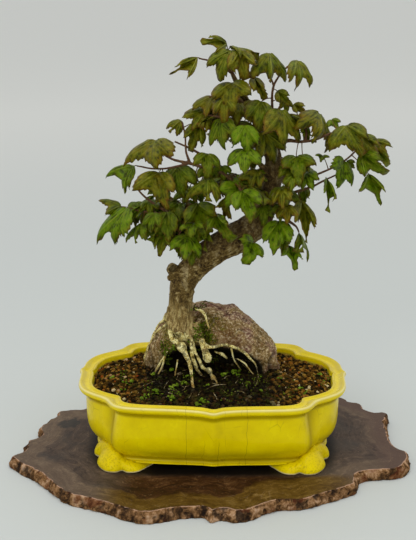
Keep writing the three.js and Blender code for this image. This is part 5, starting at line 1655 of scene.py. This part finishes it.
def seen_ground(x, z, skins):
    """The place that the camera sees where it sees (x, 0, z), and which way it faces."""
    start, ray = Vector(EYE) / METRE, Vector(np.array([x, 0, z]) - EYE).normalized()
    hits = [skin.ray_cast(start, ray) for skin in skins]
    hits = [hit for hit in hits if hit[0]]
    if not hits:
        return None, None
    place, facing = min(hits, key=lambda hit: hit[3])[:2]
    return np.array(place) * METRE, np.array(facing)


def make_moss(skins):
    dice = np.random.default_rng(51)
    lump, faces = make_lump()
    parts, shades = [], []
    for x, z, count in SEEDLINGS:
        place, facing = seen_ground(x, z, skins)
        for _ in range(count):
            size = dice.uniform(*LEAFLET_SIZES)
            spot = place + facing * dice.uniform(0.8, 3) + dice.normal(size=3) * LEAFLET_SPREAD
            leaflet = turned_any_way(lump * (1, 0.85, 0.3) * size, dice) * (1, 1, 0.8) + spot
            parts.append((leaflet, faces))
            shades += [dice.uniform(0.55, 1)] * len(lump)
    for x, z, spread, count in MOSS_PATCHES:
        for _ in range(count):
            place, facing = seen_ground(*(dice.normal((x, z), spread / 2)), skins)
            if place is None or place[2] < SOIL_FLOOR_Z:
                continue
            size = dice.uniform(*TUFT_SIZES)
            parts.append((turned_any_way(lump * size, dice) + place + facing * 0.2 * size, faces))
            shades += [dice.uniform(0.05, 0.78)] * len(lump)
    return make_piece("moss_and_seedlings", *gathered(parts), shade=shades)


def make_threads(skins):
    dice = np.random.default_rng(52)
    lines = list(THREADS)
    for _ in range(LOOSE_THREADS):
        x, z, heading = dice.uniform(*LOOSE_X), dice.uniform(*LOOSE_Z), dice.uniform(0, 2 * math.pi)
        line = [(x, z)]
        for _ in range(dice.integers(2, 5)):
            heading += dice.normal() * 0.5
            x, z = x + LOOSE_STEP[0] * math.cos(heading), z + LOOSE_STEP[1] * math.sin(heading)
            line.append((x, z))
        lines.append(line)
    parts = []
    for line in lines:
        found = [seen_ground(x, z, skins) for x, z in line]
        places = [place + facing * 0.5 for place, facing in found if place is not None]
        steady = [place for place in places if np.linalg.norm(place - places[0]) < LONGEST_THREAD]
        if len(steady) > 1:
            thick = THREAD_RADIUS * dice.uniform(0.7, 1.3)
            radii = np.linspace(thick, 0.5 * thick, len(steady))
            thread = limb_line(np.column_stack([steady, radii]), THREAD_STEPS)
            parts.append(tube(thread, THREAD_SIDES))
    return make_piece("fine_roots", *gathered(parts))


def soft_moss():
    moss = Finish("soft_moss", Specular_IOR_Level=0.15)
    shade = moss.ramp(
        moss.mark("shade") + 0.3 * (moss.lumps(1.5, 3) - 0.5),
        (0.05, 34, 36, 2), (0.3, 74, 76, 8), (0.55, 88, 100, 12), (0.8, 92, 122, 10), (1.0, 136, 156, 44),
    )
    return moss.dress(shade, 0.7 + 0.2 * moss.lumps(1, 2), moss.lumps(0.5, 3), 0.3)


def pale_thread():
    thread = Finish("pale_thread", Specular_IOR_Level=0.2)
    patches = thread.lumps(6, 3)
    shade = thread.ramp(patches, (0.35, 64, 46, 18), (0.5, 128, 106, 62), (0.62, 192, 178, 138))
    return thread.dress(shade, 0.6 + 0.3 * patches, thread.lumps(0.8, 3), 0.1)


ground = [skin_of(piece) for piece in (soil_bed, grains, boulder, tree)]
moss = make_moss(ground)
moss.data.materials.append(soft_moss())
threads = make_threads(ground)
threads.data.materials.append(pale_thread())
for piece in (moss, threads):
    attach(piece, "root")

# The studio
# A plain pale floor under soft light from a large lamp overhead, with a weaker one from the front.

FLOOR_RADIUS, FLOOR_SIDES = 90000, 64
SKY_BRIGHTNESS = 0.74


def light(name, place, target, size, power, shade):
    """A square lamp, size metres across, at a place in metres."""
    lamp = bpy.data.objects.new(name, bpy.data.lights.new(name, "AREA"))
    lamp.location = place
    lamp.rotation_euler = (Vector(target) - Vector(place)).to_track_quat("-Z", "Y").to_euler()
    lamp.data.size = size
    lamp.data.energy = power
    lamp.data.color = shade
    bpy.context.scene.collection.objects.link(lamp)


def make_sky(sky):
    """A pale grey all round, and low down the grey that the floor has in the distance."""
    sides = sky.nodes.new("ShaderNodeSeparateXYZ")
    sky.links.new(sky.nodes.new("ShaderNodeTexCoord").outputs["Generated"], sides.inputs[0])
    shades = sky.nodes.new("ShaderNodeValToRGB")
    shades.color_ramp.elements[0].position, shades.color_ramp.elements[1].position = 0.04, 0.2
    shades.color_ramp.elements[0].color = (0.754, 0.771, 0.746, 1)
    shades.color_ramp.elements[1].color = (0.865, 0.885, 0.905, 1)
    sky.links.new(sides.outputs["Z"], shades.inputs[0])
    sky.links.new(shades.outputs["Color"], sky.nodes["Background"].inputs["Color"])


floor = make_piece("floor", at_height(FLOOR_RADIUS * circle(FLOOR_SIDES), 0), [tuple(range(FLOOR_SIDES))])
paint = Finish("pale_floor", Roughness=0.7, Specular_IOR_Level=0.2)
far = paint.step(paint.away_from((0, 0, 0)), 400.0, 3000.0)
paint.feed(paint.shader.inputs["Base Color"], paint.painted((199, 203, 199), (far, (238, 238, 231))))
floor.data.materials.append(paint.material)
light("overhead", (0.1, -0.15, 1.9), (0, 0, 0.1), 1.8, 16, (1.0, 0.99, 0.97))
light("front", (-0.9, -2.0, 1.3), (0, 0, 0.2), 1.2, 9, (1.0, 1.0, 1.0))
world = bpy.data.worlds.new("studio")
world.use_nodes = True
world.node_tree.nodes["Background"].inputs["Strength"].default_value = SKY_BRIGHTNESS
make_sky(world.node_tree)
bpy.context.scene.world = world
bpy.context.scene.view_settings.view_transform = "Standard"
